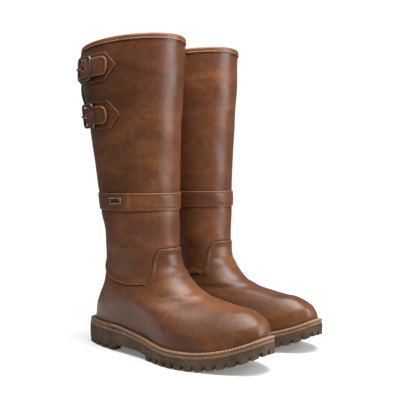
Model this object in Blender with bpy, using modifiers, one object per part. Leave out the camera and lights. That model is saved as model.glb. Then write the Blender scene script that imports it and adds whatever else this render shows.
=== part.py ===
"""A pair of tall leather riding boots with lugged soles, an ankle band and two side buckles each.

Metres, +Z up, floor at z = 0. The toes point along -Y, the right boot stands at -X.
Each boot is designed in its own coordinates, in millimetres: a is sideways (positive towards
the boot's outer side), f is forward from the back of the heel, and z is up. place() turns
those into metres, mirrored for the left boot.
"""
import math

import bmesh
import bpy
import numpy as np
from mathutils import Matrix, Vector

MM = 0.001
GAP = 0.3                   # clearance between neighbouring pieces

# Pair layout
HALF_SPACING = 62.0         # centreline of each boot from the middle of the pair
HEEL_Y = {"right": 139.37, "left": 147.87}
SIDE_SIGN = {"right": 1, "left": -1}

# Sole
SOLE_LENGTH = 290.0
OUTLINE_U = (0.0, 0.14, 0.42, 0.66, 0.85, 1.0)
OUTLINE_OUTER = (36.3, 39.2, 43.5, 56.9, 49.8, 43.1)
OUTLINE_INNER = (38.3, 38.3, 33.4, 51.0, 48.4, 42.8)
OUTLINE_POWER = 0.62
RUBBER_TOP_HEEL = 24.6
RUBBER_TOP_BALL = 14.1
TOE_SPRING = 22.0
SPRING_START = 0.7
SLAB_BOTTOM = 8.0           # underside of the sole at the arch and over the heel block
HEEL_BREAST = 78.0
FOREPART_START = 142.0
ARCH_BLEND = 24.0
LUG_DEPTH = 5.0
LUG_GROOVE = 4.0
FIRST_LUG_GROOVE = 162.0
LUG_PITCH = 17.0
LUG_PITCHES = 6
LUG_REACH = 14.0            # how far a groove runs in from the sole's edge
TOE_GROOVE = (270.0, 4.0, 4.0)      # start along the sole, half width, height
HEEL_GROOVES = (22.0, 44.0)
HEEL_GROOVE_REACH = 12.0
HEEL_NOTCH = (5.0, 12.0, 4.0)       # half width, length, height
CUTTER_MARGIN = 15.0
CUTTER_FLOOR = -10.0
MIDSOLE_THICK = 2.0
WELT_THICK = 4.0
RAND_THICK = 5.6
WELT_JOINT = 66.0           # where the heel rand meets the welt
SOLE_INSET = 0.8            # midsole and welt stand in from the rubber
FEATHER_INSET = 5.6         # upper stands in from the sole's outline
WELT_DEPTH = 12.0
INSOLE_INSET = 17.5
CORK_START = 140.0
CORK_THICK = 2.2
BOARD_THICK = 2.0
FOOTBED_THICK = 3.5
SHANK_RANGE = (40.0, 138.0)
SHANK_HALF = 8.0
SHANK_THICK = 1.5
FEATHER_GAP = 2.6           # under the upper's lower edge, whose inner face leans down

# Upper, as rings from the rim down to the feather line:
# t, back f, back z, front f, front z, half width outer, half width inner, plan share, ridge shift,
# share of the width given up towards the toe, which domes the vamp
RINGS = np.array([
    (0.00, -2.5, 392.5, 150.0, 403.5, 58.0, 58.0, 0.00, 0.0, 0.00),
    (0.12, 0.0, 348.0, 147.2, 353.5, 60.0, 56.0, 0.00, 0.0, 0.00),
    (0.25, 11.0, 300.0, 144.0, 300.0, 54.3, 53.5, 0.00, 0.0, 0.00),
    (0.48, 27.5, 204.4, 140.3, 204.4, 49.0, 49.0, 0.00, 0.0, 0.00),
    (0.54, 31.0, 182.4, 140.6, 182.4, 46.5, 46.5, 0.00, 0.0, 0.00),
    (0.64, 37.5, 142.0, 141.5, 146.0, 42.5, 42.5, 0.00, -2.0, 0.00),
    (0.71, 36.5, 112.0, 144.0, 123.0, 40.0, 39.0, 0.00, -3.5, 0.00),
    (0.77, 29.5, 86.0, 157.5, 101.0, 38.5, 37.5, 0.10, -5.0, 0.00),
    (0.83, 19.5, 68.0, 177.0, 84.5, 39.5, 38.5, 0.30, -6.5, 0.06),
    (0.88, 14.0, 56.0, 202.0, 71.8, 41.5, 40.0, 0.52, -7.2, 0.18),
    (0.93, 11.0, 48.0, 252.0, 69.6, 45.5, 43.5, 0.74, -5.6, 0.26),
    (0.965, 9.6, 42.5, 280.0, 68.0, 49.0, 46.5, 0.90, -3.0, 0.04),
    (0.985, 9.2, 39.0, 284.0, 60.0, 51.0, 48.0, 0.97, -1.0, 0.00),
    (1.00, 9.0, 36.0, 283.0, 44.0, 52.0, 49.0, 1.00, 0.0, 0.00),
])
CROWN_START = 0.4           # share of a ring's length behind which that width is not given up
COLUMNS = 36
NORMAL_STEP = (0.004, 2.0)  # ring parameter and degrees used to find the upper's normal
LEATHER = 2.0
LINING_COLUMNS = 28
LINING_DEPTH = 6.8
LINING_THICK = 1.0
STIFFENER_DEPTH = LEATHER + 2.4     # room for the facets of unlike grids
STIFFENER_THICK = 0.9
COUNTER_ANGLES = (-62.0, 62.0)
COUNTER_T = (0.80, 0.985)
PUFF_ANGLES = (135.0, 225.0)
PUFF_T = (0.93, 0.98)
BINDING_T = 0.0075          # centre of the rim binding
SHAFT_TOP_T = 0.0155
BINDING_RADIUS = 2.6
BINDING_DEPTH = 2.2

# Seam between the shaft and the foot, as ring parameter against angle from the back
SEAM_BACK = 0.700
SEAM_LOW = 0.791
SEAM_TONGUE = 0.676
SEAM_FALL = 105.0
TONGUE_HALF = 27.0
TONGUE_FLARE = 35.0
SEAM_GAP_T = 0.003

# Ankle band and its plate
BAND_TOP_T = 0.481
BAND_BOTTOM_T = 0.539
BAND_THICK = 1.4
PLATE_ANGLE = 97.5
PLATE_T = 0.505
PLATE_SIZE = (19.0, 9.0, 1.0)
PLATE_LIFT = 0.5            # clears the band's facets
PLATE_EDGE = 0.3

# Elastic gore
GORE_ANGLES = (27.0, 45.0)
GORE_BOTTOM_T = 0.30
GORE_DEPTH = 0.5
GORE_THICK = 1.2
GORE_SIDE_GAP = 0.35        # degrees
GORE_FOOT_GAP_T = 0.0012

# Buckles: t and angle of the centre bar, and angle of the strap's tip
BUCKLES = {"upper": (0.092, 72.0, 102.0), "lower": (0.243, 66.0, 96.0)}
FRAME_SIZE = (34.0, 31.0)
FRAME_WIRE = 1.5
FRAME_CORNER = 4.0
FRAME_RISE = 6.0            # outer frame above the leather at its middle
BAR_WIRE = 1.25
BAR_RISE = 3.65
PRONG_WIRE = 0.8
STRAP_WIDTH = 22.0
STRAP_THICK = 1.8
SLOT_SHARE = 0.2            # prong slot's half width as a share of the strap's
STRAP_ROOT = 56.0           # degrees from the centre bar back to the strap's sewn end
CHAPE_THICK = 1.8
CHAPE_WIDTH = 34.0
CHAPE_START = 4.2           # degrees ahead of the centre bar
CHAPE_POINT = 110.0
CHAPE_SHOULDER = 12.0       # degrees from the pentagon's shoulder to its point
CHAPE_TIP_HALF = 1.2
HOOK_DEGREES = (-20.0, -55.0, -90.0, -125.0, -160.0, -190.0)
HOOK_GAP = 0.25

MATERIALS = {
    "brown_leather": ((0.135, 0.052, 0.026), 0.42, 0.0),
    "tan_leather": ((0.27, 0.135, 0.065), 0.5, 0.0),
    "lining_leather": ((0.30, 0.17, 0.09), 0.7, 0.0),
    "welt_leather": ((0.26, 0.13, 0.065), 0.6, 0.0),
    "midsole": ((0.34, 0.22, 0.13), 0.7, 0.0),
    "rubber": ((0.045, 0.034, 0.028), 0.75, 0.0),
    "board": ((0.35, 0.25, 0.15), 0.8, 0.0),
    "cork": ((0.30, 0.18, 0.09), 0.9, 0.0),
    "footbed": ((0.10, 0.06, 0.04), 0.8, 0.0),
    "steel": ((0.45, 0.45, 0.46), 0.35, 1.0),
    "elastic": ((0.012, 0.011, 0.011), 0.85, 0.0),
    "bronze": ((0.16, 0.115, 0.075), 0.38, 1.0),
    "brass": ((0.42, 0.30, 0.17), 0.35, 1.0),
}


# ---------------------------------------------------------------- scene

def clear_scene():
    for obj in list(bpy.data.objects):
        bpy.data.objects.remove(obj, do_unlink=True)


def make_collection(name):
    collection = bpy.data.collections.new(name)
    bpy.context.scene.collection.children.link(collection)
    return collection


def make_material(name):
    colour, roughness, metallic = MATERIALS[name]
    material = bpy.data.materials.new(name)
    material.use_nodes = True
    shader = material.node_tree.nodes["Principled BSDF"]
    shader.inputs["Base Color"].default_value = (*colour, 1.0)
    shader.inputs["Roughness"].default_value = roughness
    shader.inputs["Metallic"].default_value = metallic
    material.diffuse_color = (*colour, 1.0)
    return material


def add_object(boot, name, mesh, material):
    """Link a mesh as one named piece of a boot, under the boot's empty."""
    obj = bpy.data.objects.new(f"{boot['name']}_{name}", mesh)
    obj.parent = boot["empty"]
    BOOTS.objects.link(obj)
    mesh.materials.append(SHADERS[material])
    mesh.shade_smooth()
    mesh.set_sharp_from_angle(angle=math.radians(35))
    return obj


def place(boot, point):
    """Boot coordinates in millimetres to the boot empty's own metres."""
    a, f, z = point
    return Vector((-boot["sign"] * a * MM, -f * MM, z * MM))


def solidify(obj, thickness, outward=False):
    modifier = obj.modifiers.new("thickness", "SOLIDIFY")
    modifier.thickness = thickness * MM
    modifier.offset = 1.0 if outward else -1.0
    modifier.use_even_offset = False


def settle(obj):
    """Turn an object's evaluated shape into its own plain mesh."""
    graph = bpy.context.evaluated_depsgraph_get()
    mesh = bpy.data.meshes.new_from_object(obj.evaluated_get(graph))
    obj.modifiers.clear()
    obj.data = mesh
    return obj


def boolean(obj, other, operation):
    modifier = obj.modifiers.new(operation.lower(), "BOOLEAN")
    modifier.object = other
    modifier.operation = operation
    modifier.solver = "EXACT"


# ---------------------------------------------------------------- curves through stations

def smooth_step(x):
    x = np.clip(x, 0.0, 1.0)
    return x * x * (3.0 - 2.0 * x)


def station_curve(x, xs, ys):
    """Monotone cubic through the stations (xs, ys), without overshoot."""
    xs = np.asarray(xs, float)
    ys = np.asarray(ys, float)
    steps = np.diff(xs)
    slopes = np.diff(ys) / steps
    tangents = np.zeros_like(ys)
    tangents[0], tangents[-1] = slopes[0], slopes[-1]
    for i in range(1, len(xs) - 1):
        left, right = slopes[i - 1], slopes[i]
        if left * right > 0.0:
            w1 = 2.0 * steps[i] + steps[i - 1]
            w2 = steps[i] + 2.0 * steps[i - 1]
            tangents[i] = (w1 + w2) / (w1 / left + w2 / right)
    x = np.clip(x, xs[0], xs[-1])
    i = np.clip(np.searchsorted(xs, x, side="right") - 1, 0, len(steps) - 1)
    s = (x - xs[i]) / steps[i]
    return (ys[i] * (1 + 2 * s) * (1 - s) ** 2 + tangents[i] * steps[i] * s * (1 - s) ** 2
            + ys[i + 1] * s * s * (3 - 2 * s) - tangents[i + 1] * steps[i] * s * s * (1 - s))


# ---------------------------------------------------------------- sole shape

def half_widths(u, inset=0.0):
    """Outer and inner half width of the plan outline at share u of its length."""
    rounded = np.sin(np.arccos(np.clip(1.0 - 2.0 * u, -1.0, 1.0))) ** OUTLINE_POWER
    outer = station_curve(u, OUTLINE_U, OUTLINE_OUTER) - inset
    inner = station_curve(u, OUTLINE_U, OUTLINE_INNER) - inset
    return rounded * outer, rounded * inner


def toe_rise(f):
    return TOE_SPRING * np.clip((f / SOLE_LENGTH - SPRING_START) / (1.0 - SPRING_START), 0.0, 1.0) ** 2


def rubber_top(f):
    fall = smooth_step((f / SOLE_LENGTH - 0.27) / 0.35)
    return RUBBER_TOP_HEEL + (RUBBER_TOP_BALL - RUBBER_TOP_HEEL) * fall + toe_rise(f)


def rubber_bottom(f):
    """Underside of the sole: raised over the heel block and arch, on the floor at the ball."""
    forepart = smooth_step((f - FOREPART_START + ARCH_BLEND) / ARCH_BLEND)
    return SLAB_BOTTOM * (1.0 - forepart) + toe_rise(f)


def midsole_bottom(f):
    return rubber_top(f) + GAP


def midsole_top(f):
    return midsole_bottom(f) + MIDSOLE_THICK


def welt_top(f):
    share = smooth_step((f - WELT_JOINT) / 40.0)
    return midsole_top(f) + GAP + RAND_THICK + (WELT_THICK - RAND_THICK) * share


def feather_height(f):
    return welt_top(f) + FEATHER_GAP


def plan_slab(boot, name, material, inset, low, high, f_range, rows=26):
    """Closed slab between two height curves, inside the plan outline, over a length range."""
    start, end = f_range
    span = SOLE_LENGTH - 2.0 * inset
    theta = np.linspace(math.acos(np.clip(1 - 2 * (start - inset) / span, -1, 1)),
                        math.acos(np.clip(1 - 2 * (end - inset) / span, -1, 1)), rows)
    u = (1.0 - np.cos(theta)) / 2.0
    f = inset + u * span
    outer, inner = half_widths(u, inset)
    bm = bmesh.new()
    sections = []
    for i in range(rows):
        if outer[i] + inner[i] < 1.0:
            corners = [(0.0, f[i], low(f[i])), (0.0, f[i], high(f[i]))]
        else:
            corners = [(outer[i], f[i], low(f[i])), (outer[i], f[i], high(f[i])),
                       (-inner[i], f[i], high(f[i])), (-inner[i], f[i], low(f[i]))]
        sections.append([bm.verts.new(place(boot, c)) for c in corners])
    for one, two in zip(sections, sections[1:]):
        join_sections(bm, one, two)
    for section in (sections[0], sections[-1]):
        if len(section) == 4:
            bm.faces.new(section)
    bmesh.ops.recalc_face_normals(bm, faces=bm.faces)
    return add_object(boot, name, to_mesh(bm, name), material)


def join_sections(bm, one, two):
    """Skin between two cross-sections of four corners, or of two where the outline ends."""
    if len(one) == 4 and len(two) == 4:
        for i in range(4):
            j = (i + 1) % 4
            bm.faces.new((one[i], one[j], two[j], two[i]))
        return
    tip, full = (one, two) if len(one) == 2 else (two, one)
    low, high = tip
    bm.faces.new((low, high, full[1], full[0]))
    bm.faces.new((high, full[2], full[1]))
    bm.faces.new((low, high, full[2], full[3]))
    bm.faces.new((low, full[0], full[3]))


def to_mesh(bm, name):
    mesh = bpy.data.meshes.new(name)
    bm.to_mesh(mesh)
    bm.free()
    return mesh


def edge_strip(boot, name, material, high, f_from, f_to, rows):
    """Strip of welt along the outline: from f_from on the outer side, round an end, to the inner.

    With f_to below f_from the strip goes round the heel, otherwise round the toe.
    """
    angle = math.acos(1 - 2 * (f_from - SOLE_INSET) / (SOLE_LENGTH - 2 * SOLE_INSET))
    stop = 0.0 if f_to < f_from else math.pi
    thetas = list(np.linspace(angle, stop, rows))
    path = [(theta, 1) for theta in thetas] + [(theta, -1) for theta in thetas[-2::-1]]
    outer_line = outline_points(path, SOLE_INSET)
    inner_line = outline_points(path, SOLE_INSET + WELT_DEPTH)
    bm = bmesh.new()
    sections = []
    for (a0, f0), (a1, f1) in zip(outer_line, inner_line):
        corners = [(a0, f0, midsole_top(f0) + GAP), (a0, f0, high(f0)),
                   (a1, f1, high(f1)), (a1, f1, midsole_top(f1) + GAP)]
        sections.append([bm.verts.new(place(boot, c)) for c in corners])
    for one, two in zip(sections, sections[1:]):
        join_sections(bm, one, two)
    bm.faces.new(sections[0])
    bm.faces.new(sections[-1])
    bmesh.ops.recalc_face_normals(bm, faces=bm.faces)
    return add_object(boot, name, to_mesh(bm, name), material)


def outline_points(path, inset):
    points = []
    span = SOLE_LENGTH - 2.0 * inset
    for theta, side in path:
        u = (1.0 - math.cos(theta)) / 2.0
        outer, inner = half_widths(u, inset)
        points.append((outer if side > 0 else -inner, inset + u * span))
    return points


def boxes_cutter(name, boot, boxes):
    """One cutter of separate boxes, each (low corner, high corner) in boot coordinates."""
    bm = bmesh.new()
    for low, high in boxes:
        one, two = place(boot, low), place(boot, high)
        made = bmesh.ops.create_cube(bm, size=1.0)
        size = Vector([abs(two[k] - one[k]) for k in range(3)])
        bmesh.ops.scale(bm, vec=size, verts=made["verts"])
        bmesh.ops.translate(bm, vec=(one + two) / 2.0, verts=made["verts"])
    cutter = bpy.data.objects.new(f"{boot['name']}_{name}", to_mesh(bm, name))
    cutter.parent = boot["empty"]
    CUTTERS.objects.link(cutter)
    cutter.hide_render = True
    cutter.display_type = "WIRE"
    return cutter


def lug_grooves(stations, reach):
    """Notches across the sole's lower edge at each station, one from either side."""
    boxes = []
    for f in stations:
        outer, inner = half_widths(f / SOLE_LENGTH)
        height = rubber_bottom(f) + LUG_DEPTH
        end = f + LUG_GROOVE
        boxes.append(((outer - reach, f, CUTTER_FLOOR), (outer + CUTTER_MARGIN, end, height)))
        boxes.append(((-inner - CUTTER_MARGIN, f, CUTTER_FLOOR), (-inner + reach, end, height)))
    return boxes


def add_sole(boot):
    outsole = plan_slab(boot, "outsole", "rubber", 0.0, rubber_bottom, rubber_top,
                        (0.0, SOLE_LENGTH), rows=34)
    stations = [FIRST_LUG_GROOVE + LUG_PITCH * i for i in range(LUG_PITCHES)]
    grooves = lug_grooves(stations, LUG_REACH)
    start, half, height = TOE_GROOVE
    top = rubber_bottom(start + 10.0) + height
    grooves.append(((-half, start, CUTTER_FLOOR), (half, SOLE_LENGTH + CUTTER_MARGIN, top)))
    boolean(outsole, boxes_cutter("outsole_grooves", boot, grooves), "DIFFERENCE")
    heel = plan_slab(boot, "heel_block", "rubber", 1.0, lambda f: 0.0 * f,
                     lambda f: 0.0 * f + SLAB_BOTTOM - GAP, (1.0, HEEL_BREAST), rows=16)
    notches = lug_grooves(HEEL_GROOVES, HEEL_GROOVE_REACH)
    half, length, height = HEEL_NOTCH
    notches.append(((-half, -CUTTER_MARGIN, CUTTER_FLOOR), (half, length, height)))
    boolean(heel, boxes_cutter("heel_grooves", boot, notches), "DIFFERENCE")
    plan_slab(boot, "midsole", "midsole", SOLE_INSET, midsole_bottom, midsole_top,
              (SOLE_INSET, SOLE_LENGTH - SOLE_INSET), rows=26)
    edge_strip(boot, "welt", "welt_leather", welt_top, WELT_JOINT + GAP, SOLE_LENGTH, 22)
    edge_strip(boot, "heel_rand", "welt_leather", welt_top, WELT_JOINT - GAP, 0.0, 10)


def add_bottom_filling(boot):
    """Cork and shank in the cavity inside the welt, then the insole board and the footbed."""
    inset = SOLE_INSET + WELT_DEPTH + 1.0
    floor = lambda f: midsole_top(f) + GAP
    plan_slab(boot, "cork_filler", "cork", inset, floor, lambda f: floor(f) + CORK_THICK,
              (CORK_START, SOLE_LENGTH - inset), rows=16)
    board = lambda f: floor(f) + CORK_THICK + GAP
    plan_slab(boot, "insole_board", "board", INSOLE_INSET, board, lambda f: board(f) + BOARD_THICK,
              (INSOLE_INSET, SOLE_LENGTH - INSOLE_INSET), rows=18)
    bed = lambda f: board(f) + BOARD_THICK + GAP
    plan_slab(boot, "footbed", "footbed", INSOLE_INSET, bed, lambda f: bed(f) + FOOTBED_THICK,
              (INSOLE_INSET, SOLE_LENGTH - INSOLE_INSET), rows=18)
    add_shank(boot, floor)


def add_shank(boot, floor):
    bm = bmesh.new()
    sections = []
    half = SHANK_HALF
    for f in np.linspace(*SHANK_RANGE, 12):
        low = floor(f) + GAP
        high = low + SHANK_THICK
        corners = [(half, f, low), (half, f, high), (-half, f, high), (-half, f, low)]
        sections.append([bm.verts.new(place(boot, c)) for c in corners])
    for one, two in zip(sections, sections[1:]):
        join_sections(bm, one, two)
    bm.faces.new(sections[0])
    bm.faces.new(sections[-1])
    bmesh.ops.recalc_face_normals(bm, faces=bm.faces)
    add_object(boot, "shank", to_mesh(bm, "shank"), "steel")


# ---------------------------------------------------------------- upper shape

def upper_point(t, phi):
    """Outer face of the upper at ring parameter t and angle phi in degrees (0 back, 90 outer)."""
    t, phi = np.broadcast_arrays(np.asarray(t, float), np.radians(np.asarray(phi, float)))
    back_f, back_z, front_f, front_z, w_outer, w_inner, plan, ridge, crown = (
        station_curve(t, RINGS[:, 0], RINGS[:, k]) for k in range(1, 10))
    u = (1.0 - np.cos(phi)) / 2.0
    outer_side = np.sin(phi) >= 0.0
    ellipse = np.where(outer_side, w_outer, w_inner) * np.abs(np.sin(phi))
    outer, inner = half_widths(u, FEATHER_INSET)
    side = (1.0 - plan) * ellipse + plan * np.where(outer_side, outer, inner)
    side = side * (1.0 - crown * smooth_step((u - CROWN_START) / (1.0 - CROWN_START)))
    a = side * np.where(outer_side, 1.0, -1.0) + ridge * u ** 1.5
    f = back_f + (front_f - back_f) * u
    line = back_z + (front_z - back_z) * u
    low_end, high_end = feather_height(back_f), feather_height(front_f)
    bow = feather_height(f) - (low_end + (high_end - low_end) * u)
    lift = low_end + (high_end - low_end) * u - line
    last = smooth_step((t - 0.93) / 0.07)
    return np.stack([a, f, line + bow * plan + lift * last], axis=-1)


def upper_normal(t, phi):
    """Outward unit normal of the upper."""
    t, phi = np.broadcast_arrays(np.asarray(t, float), np.asarray(phi, float))
    dt, dphi = NORMAL_STEP
    down = upper_point(np.minimum(t + dt, 1.0), phi) - upper_point(np.maximum(t - dt, 0.0), phi)
    round_ = upper_point(t, phi + dphi) - upper_point(t, phi - dphi)
    normal = np.cross(down, round_)
    return normal / np.linalg.norm(normal, axis=-1, keepdims=True)


def raised(t, phi, height):
    """Point above (height > 0) or below the outer face of the upper."""
    return upper_point(t, phi) + upper_normal(t, phi) * np.asarray(height)[..., None]


def seam_t(phi):
    """Ring parameter of the shaft-to-foot seam, with the vamp's tongue at the front."""
    from_back = np.abs((np.asarray(phi, float) + 180.0) % 360.0 - 180.0)
    side = SEAM_BACK + (SEAM_LOW - SEAM_BACK) * smooth_step(from_back / SEAM_FALL)
    flare = smooth_step((180.0 - from_back - TONGUE_HALF) / TONGUE_FLARE)
    return np.minimum(side, SEAM_TONGUE + (SEAM_LOW - SEAM_TONGUE) * flare)


def sheet(boot, name, material, points, thickness, closed=True, outward=False, skip=None):
    """Sheet over a grid of points (rows down, columns round) given a thickness."""
    rows, columns = points.shape[:2]
    bm = bmesh.new()
    verts = [[bm.verts.new(place(boot, points[i, j])) for j in range(columns)] for i in range(rows)]
    for i in range(rows - 1):
        for j in range(columns if closed else columns - 1):
            if skip and skip(i, j):
                continue
            k = (j + 1) % columns
            corners = [verts[i][j], verts[i + 1][j], verts[i + 1][k], verts[i][k]]
            bm.faces.new(corners if boot["sign"] > 0 else corners[::-1])
    loose = [v for v in bm.verts if not v.link_faces]
    bmesh.ops.delete(bm, geom=loose, context="VERTS")
    obj = add_object(boot, name, to_mesh(bm, name), material)
    solidify(obj, thickness, outward)
    return obj


def shaft_columns():
    """Column angles round the upper, with columns on both edges of the gore."""
    low, high = GORE_ANGLES
    return np.concatenate([np.linspace(0.0, low, 4)[:-1], np.linspace(low, high, 3)[:-1],
                           np.linspace(high, 360.0, 30)[:-1]])


def add_shaft(boot):
    phi = shaft_columns()
    shares = np.concatenate([np.linspace(0.0, 0.42, 4)[:-1], np.linspace(0.42, 1.0, 7)])
    top = np.full_like(phi, SHAFT_TOP_T)
    end = seam_t(phi)
    t = np.array([top + (end - top) * share for share in shares])
    gore_row = int(np.argmin(np.abs(t[:, 0] - GORE_BOTTOM_T)))
    low, high = GORE_ANGLES
    inside = (phi >= low - 0.01) & (phi < high - 0.01)
    gore_columns = set(np.nonzero(inside)[0])
    t[gore_row, :] = GORE_BOTTOM_T
    points = upper_point(t, phi[None, :] + 0.0 * t)
    sheet(boot, "shaft_leather", "brown_leather", points, LEATHER,
          skip=lambda i, j: i < gore_row and j in gore_columns)
    add_gusset(boot)


def add_gusset(boot):
    """Elastic filling the shaft's slit, level with the leather."""
    low, high = GORE_ANGLES
    phi = np.linspace(low + GORE_SIDE_GAP, high - GORE_SIDE_GAP, 4)
    t = np.linspace(SHAFT_TOP_T, GORE_BOTTOM_T - GORE_FOOT_GAP_T, 7)
    grid_t, grid_phi = np.meshgrid(t, phi, indexing="ij")
    sheet(boot, "gusset", "elastic", raised(grid_t, grid_phi, 0.0 * grid_t - GORE_DEPTH),
          GORE_THICK, closed=False)


def add_foot(boot):
    phi = shaft_columns()
    start = seam_t(phi) + SEAM_GAP_T
    shares = np.array([0.0, 0.13, 0.26, 0.39, 0.51, 0.62, 0.72, 0.80, 0.87, 0.93, 0.97, 1.0])
    t = np.array([start + (1.0 - start) * share for share in shares])
    sheet(boot, "foot_leather", "brown_leather", upper_point(t, phi[None, :] + 0.0 * t), LEATHER)


def add_lining(boot):
    phi = np.linspace(0.0, 360.0, LINING_COLUMNS, endpoint=False)
    t = np.concatenate([np.linspace(SHAFT_TOP_T, 0.64, 4), np.linspace(0.70, 0.90, 6),
                        np.linspace(0.925, 0.975, 3)])
    grid_t, grid_phi = np.meshgrid(t, phi, indexing="ij")
    points = raised(grid_t, grid_phi, 0.0 * grid_t - LINING_DEPTH)
    sheet(boot, "lining", "lining_leather", points, LINING_THICK)


def add_stiffeners(boot):
    """Heel counter and toe puff, between the foot leather and the lining."""
    for name, angles, rings in (("heel_counter", COUNTER_ANGLES, COUNTER_T),
                                ("toe_puff", PUFF_ANGLES, PUFF_T)):
        grid_t, grid_phi = np.meshgrid(np.linspace(*rings, 6), np.linspace(*angles, 11), indexing="ij")
        points = raised(grid_t, grid_phi, 0.0 * grid_t - STIFFENER_DEPTH)
        sheet(boot, name, "board", points, STIFFENER_THICK, closed=False)


def add_binding(boot):
    """Rolled edge round the rim, a closed tube just above the shaft and the lining."""
    phi = np.linspace(0.0, 360.0, COLUMNS, endpoint=False)
    path = raised(BINDING_T + 0.0 * phi, phi, 0.0 * phi - BINDING_DEPTH)
    curve = bpy.data.curves.new("binding", "CURVE")
    curve.dimensions = "3D"
    curve.bevel_depth = BINDING_RADIUS * MM
    curve.bevel_resolution = 1
    spline = curve.splines.new("POLY")
    spline.points.add(len(path) - 1)
    for point, target in zip(spline.points, path):
        point.co = (*place(boot, target), 1.0)
    spline.use_cyclic_u = True
    curve.materials.append(SHADERS["tan_leather"])
    obj = bpy.data.objects.new(f"{boot['name']}_top_binding", curve)
    obj.parent = boot["empty"]
    BOOTS.objects.link(obj)


def add_band(boot):
    phi = np.linspace(0.0, 360.0, COLUMNS, endpoint=False)
    t = np.linspace(BAND_TOP_T, BAND_BOTTOM_T, 3)
    grid_t, grid_phi = np.meshgrid(t, phi, indexing="ij")
    points = raised(grid_t, grid_phi, 0.0 * grid_t + GAP)
    sheet(boot, "ankle_band", "brown_leather", points, BAND_THICK, outward=True)
    width, height, thick = PLATE_SIZE
    frame = surface_frame(boot, PLATE_T, PLATE_ANGLE)
    plate = box_piece(boot, "band_plate", "brass", (width, height, thick))
    lift = GAP + BAND_THICK + GAP + thick / 2.0 + PLATE_LIFT
    plate.matrix_local = frame @ translation(0.0, 0.0, lift)
    bevel = plate.modifiers.new("edges", "BEVEL")
    bevel.width = PLATE_EDGE * MM
    bevel.segments = 1


# ---------------------------------------------------------------- buckles

def translation(x, y, z):
    from_origin = Vector((x * MM, y * MM, z * MM))
    return Matrix.Translation(from_origin)


def surface_frame(boot, t, phi):
    """Local frame on the upper: X forward along it, Y up along it, Z outward."""
    origin = place(boot, upper_point(t, phi))
    normal = place(boot, upper_normal(t, phi)).normalized()
    up = Vector((0.0, 0.0, 1.0))
    up = (up - normal * up.dot(normal)).normalized()
    forward = up.cross(normal)
    matrix = Matrix.Identity(4)
    for k, axis in enumerate((forward, up, normal)):
        for row in range(3):
            matrix[row][k] = axis[row]
    for row in range(3):
        matrix[row][3] = origin[row]
    return matrix


def box_piece(boot, name, material, size):
    bm = bmesh.new()
    bmesh.ops.create_cube(bm, size=1.0)
    bmesh.ops.scale(bm, vec=Vector(size) * MM, verts=bm.verts)
    return add_object(boot, name, to_mesh(bm, name), material)


def wire_piece(boot, name, material, points, radius, cyclic):
    """Wire of round section along points in millimetres, as a mesh with its ends closed."""
    curve = bpy.data.curves.new(name, "CURVE")
    curve.dimensions = "3D"
    curve.bevel_depth = radius * MM
    curve.bevel_resolution = 2
    curve.use_fill_caps = not cyclic
    spline = curve.splines.new("POLY")
    spline.points.add(len(points) - 1)
    for point, target in zip(spline.points, points):
        point.co = (*[c * MM for c in target], 1.0)
    spline.use_cyclic_u = cyclic
    temporary = bpy.data.objects.new(name, curve)
    BOOTS.objects.link(temporary)
    graph = bpy.context.evaluated_depsgraph_get()
    mesh = bpy.data.meshes.new_from_object(temporary.evaluated_get(graph))
    bpy.data.objects.remove(temporary, do_unlink=True)
    bm = bmesh.new()
    bm.from_mesh(mesh)
    bmesh.ops.remove_doubles(bm, verts=bm.verts, dist=0.00002)
    bmesh.ops.recalc_face_normals(bm, faces=bm.faces)
    bm.to_mesh(mesh)
    bm.free()
    return add_object(boot, name, mesh, material)


def rounded_rectangle(width, height, corner, z):
    points = []
    for quarter, (sx, sy) in enumerate(((1, 1), (-1, 1), (-1, -1), (1, -1))):
        for step in range(4):
            angle = math.radians(90.0 * quarter + 30.0 * step)
            points.append((sx * (width / 2 - corner) + corner * math.cos(angle),
                           sy * (height / 2 - corner) + corner * math.sin(angle), z))
    return points


def add_buckle(boot, name, t, phi, tip_phi):
    forward = boot["sign"]          # local X is forward on the right boot, backward on the left
    hinge = surface_frame(boot, t, phi) @ translation(0.0, 0.0, BAR_RISE)
    length, height = FRAME_SIZE
    ring = rounded_rectangle(length - 2 * FRAME_WIRE, height - 2 * FRAME_WIRE, FRAME_CORNER,
                             FRAME_RISE - BAR_RISE)
    frame = wire_piece(boot, f"{name}_buckle_frame", "bronze", ring, FRAME_WIRE, True)
    half = height / 2 - FRAME_WIRE
    bar_rise = FRAME_RISE - BAR_RISE
    bar = wire_piece(boot, f"{name}_centre_bar", "bronze",
                     [(0, -half, bar_rise * 0.7), (0, -half + 3.0, 0), (0, half - 3.0, 0),
                      (0, half, bar_rise * 0.7)], BAR_WIRE, False)
    frame.matrix_local = hinge
    bar.matrix_local = hinge
    boolean(frame, bar, "UNION")
    settle(frame)
    bpy.data.objects.remove(bar, do_unlink=True)
    frame.data.shade_smooth()
    add_prong(boot, name, hinge, forward)
    add_strap(boot, name, t, phi, tip_phi)
    add_chape(boot, name, t, phi)


def add_prong(boot, name, hinge, forward):
    """Pin hooked under the centre bar, up through the strap's slot and over the rear bar."""
    reach = FRAME_SIZE[0] / 2 - FRAME_WIRE
    hook = BAR_WIRE + HOOK_GAP + PRONG_WIRE
    points = []
    for degrees in HOOK_DEGREES:
        angle = math.radians(degrees)
        points.append((hook * math.cos(angle), 0.0, hook * math.sin(angle)))
    rest = FRAME_RISE - BAR_RISE + FRAME_WIRE + PRONG_WIRE + GAP
    points.append((-5.0, 0.0, 3.2))
    points.append((-9.0, 0.0, rest + 0.1))
    points.append((-reach - 1.6, 0.0, rest))
    points = [(x * forward, y, z) for x, y, z in points]
    prong = wire_piece(boot, f"{name}_prong", "bronze", points, PRONG_WIRE, False)
    prong.matrix_local = hinge


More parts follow.
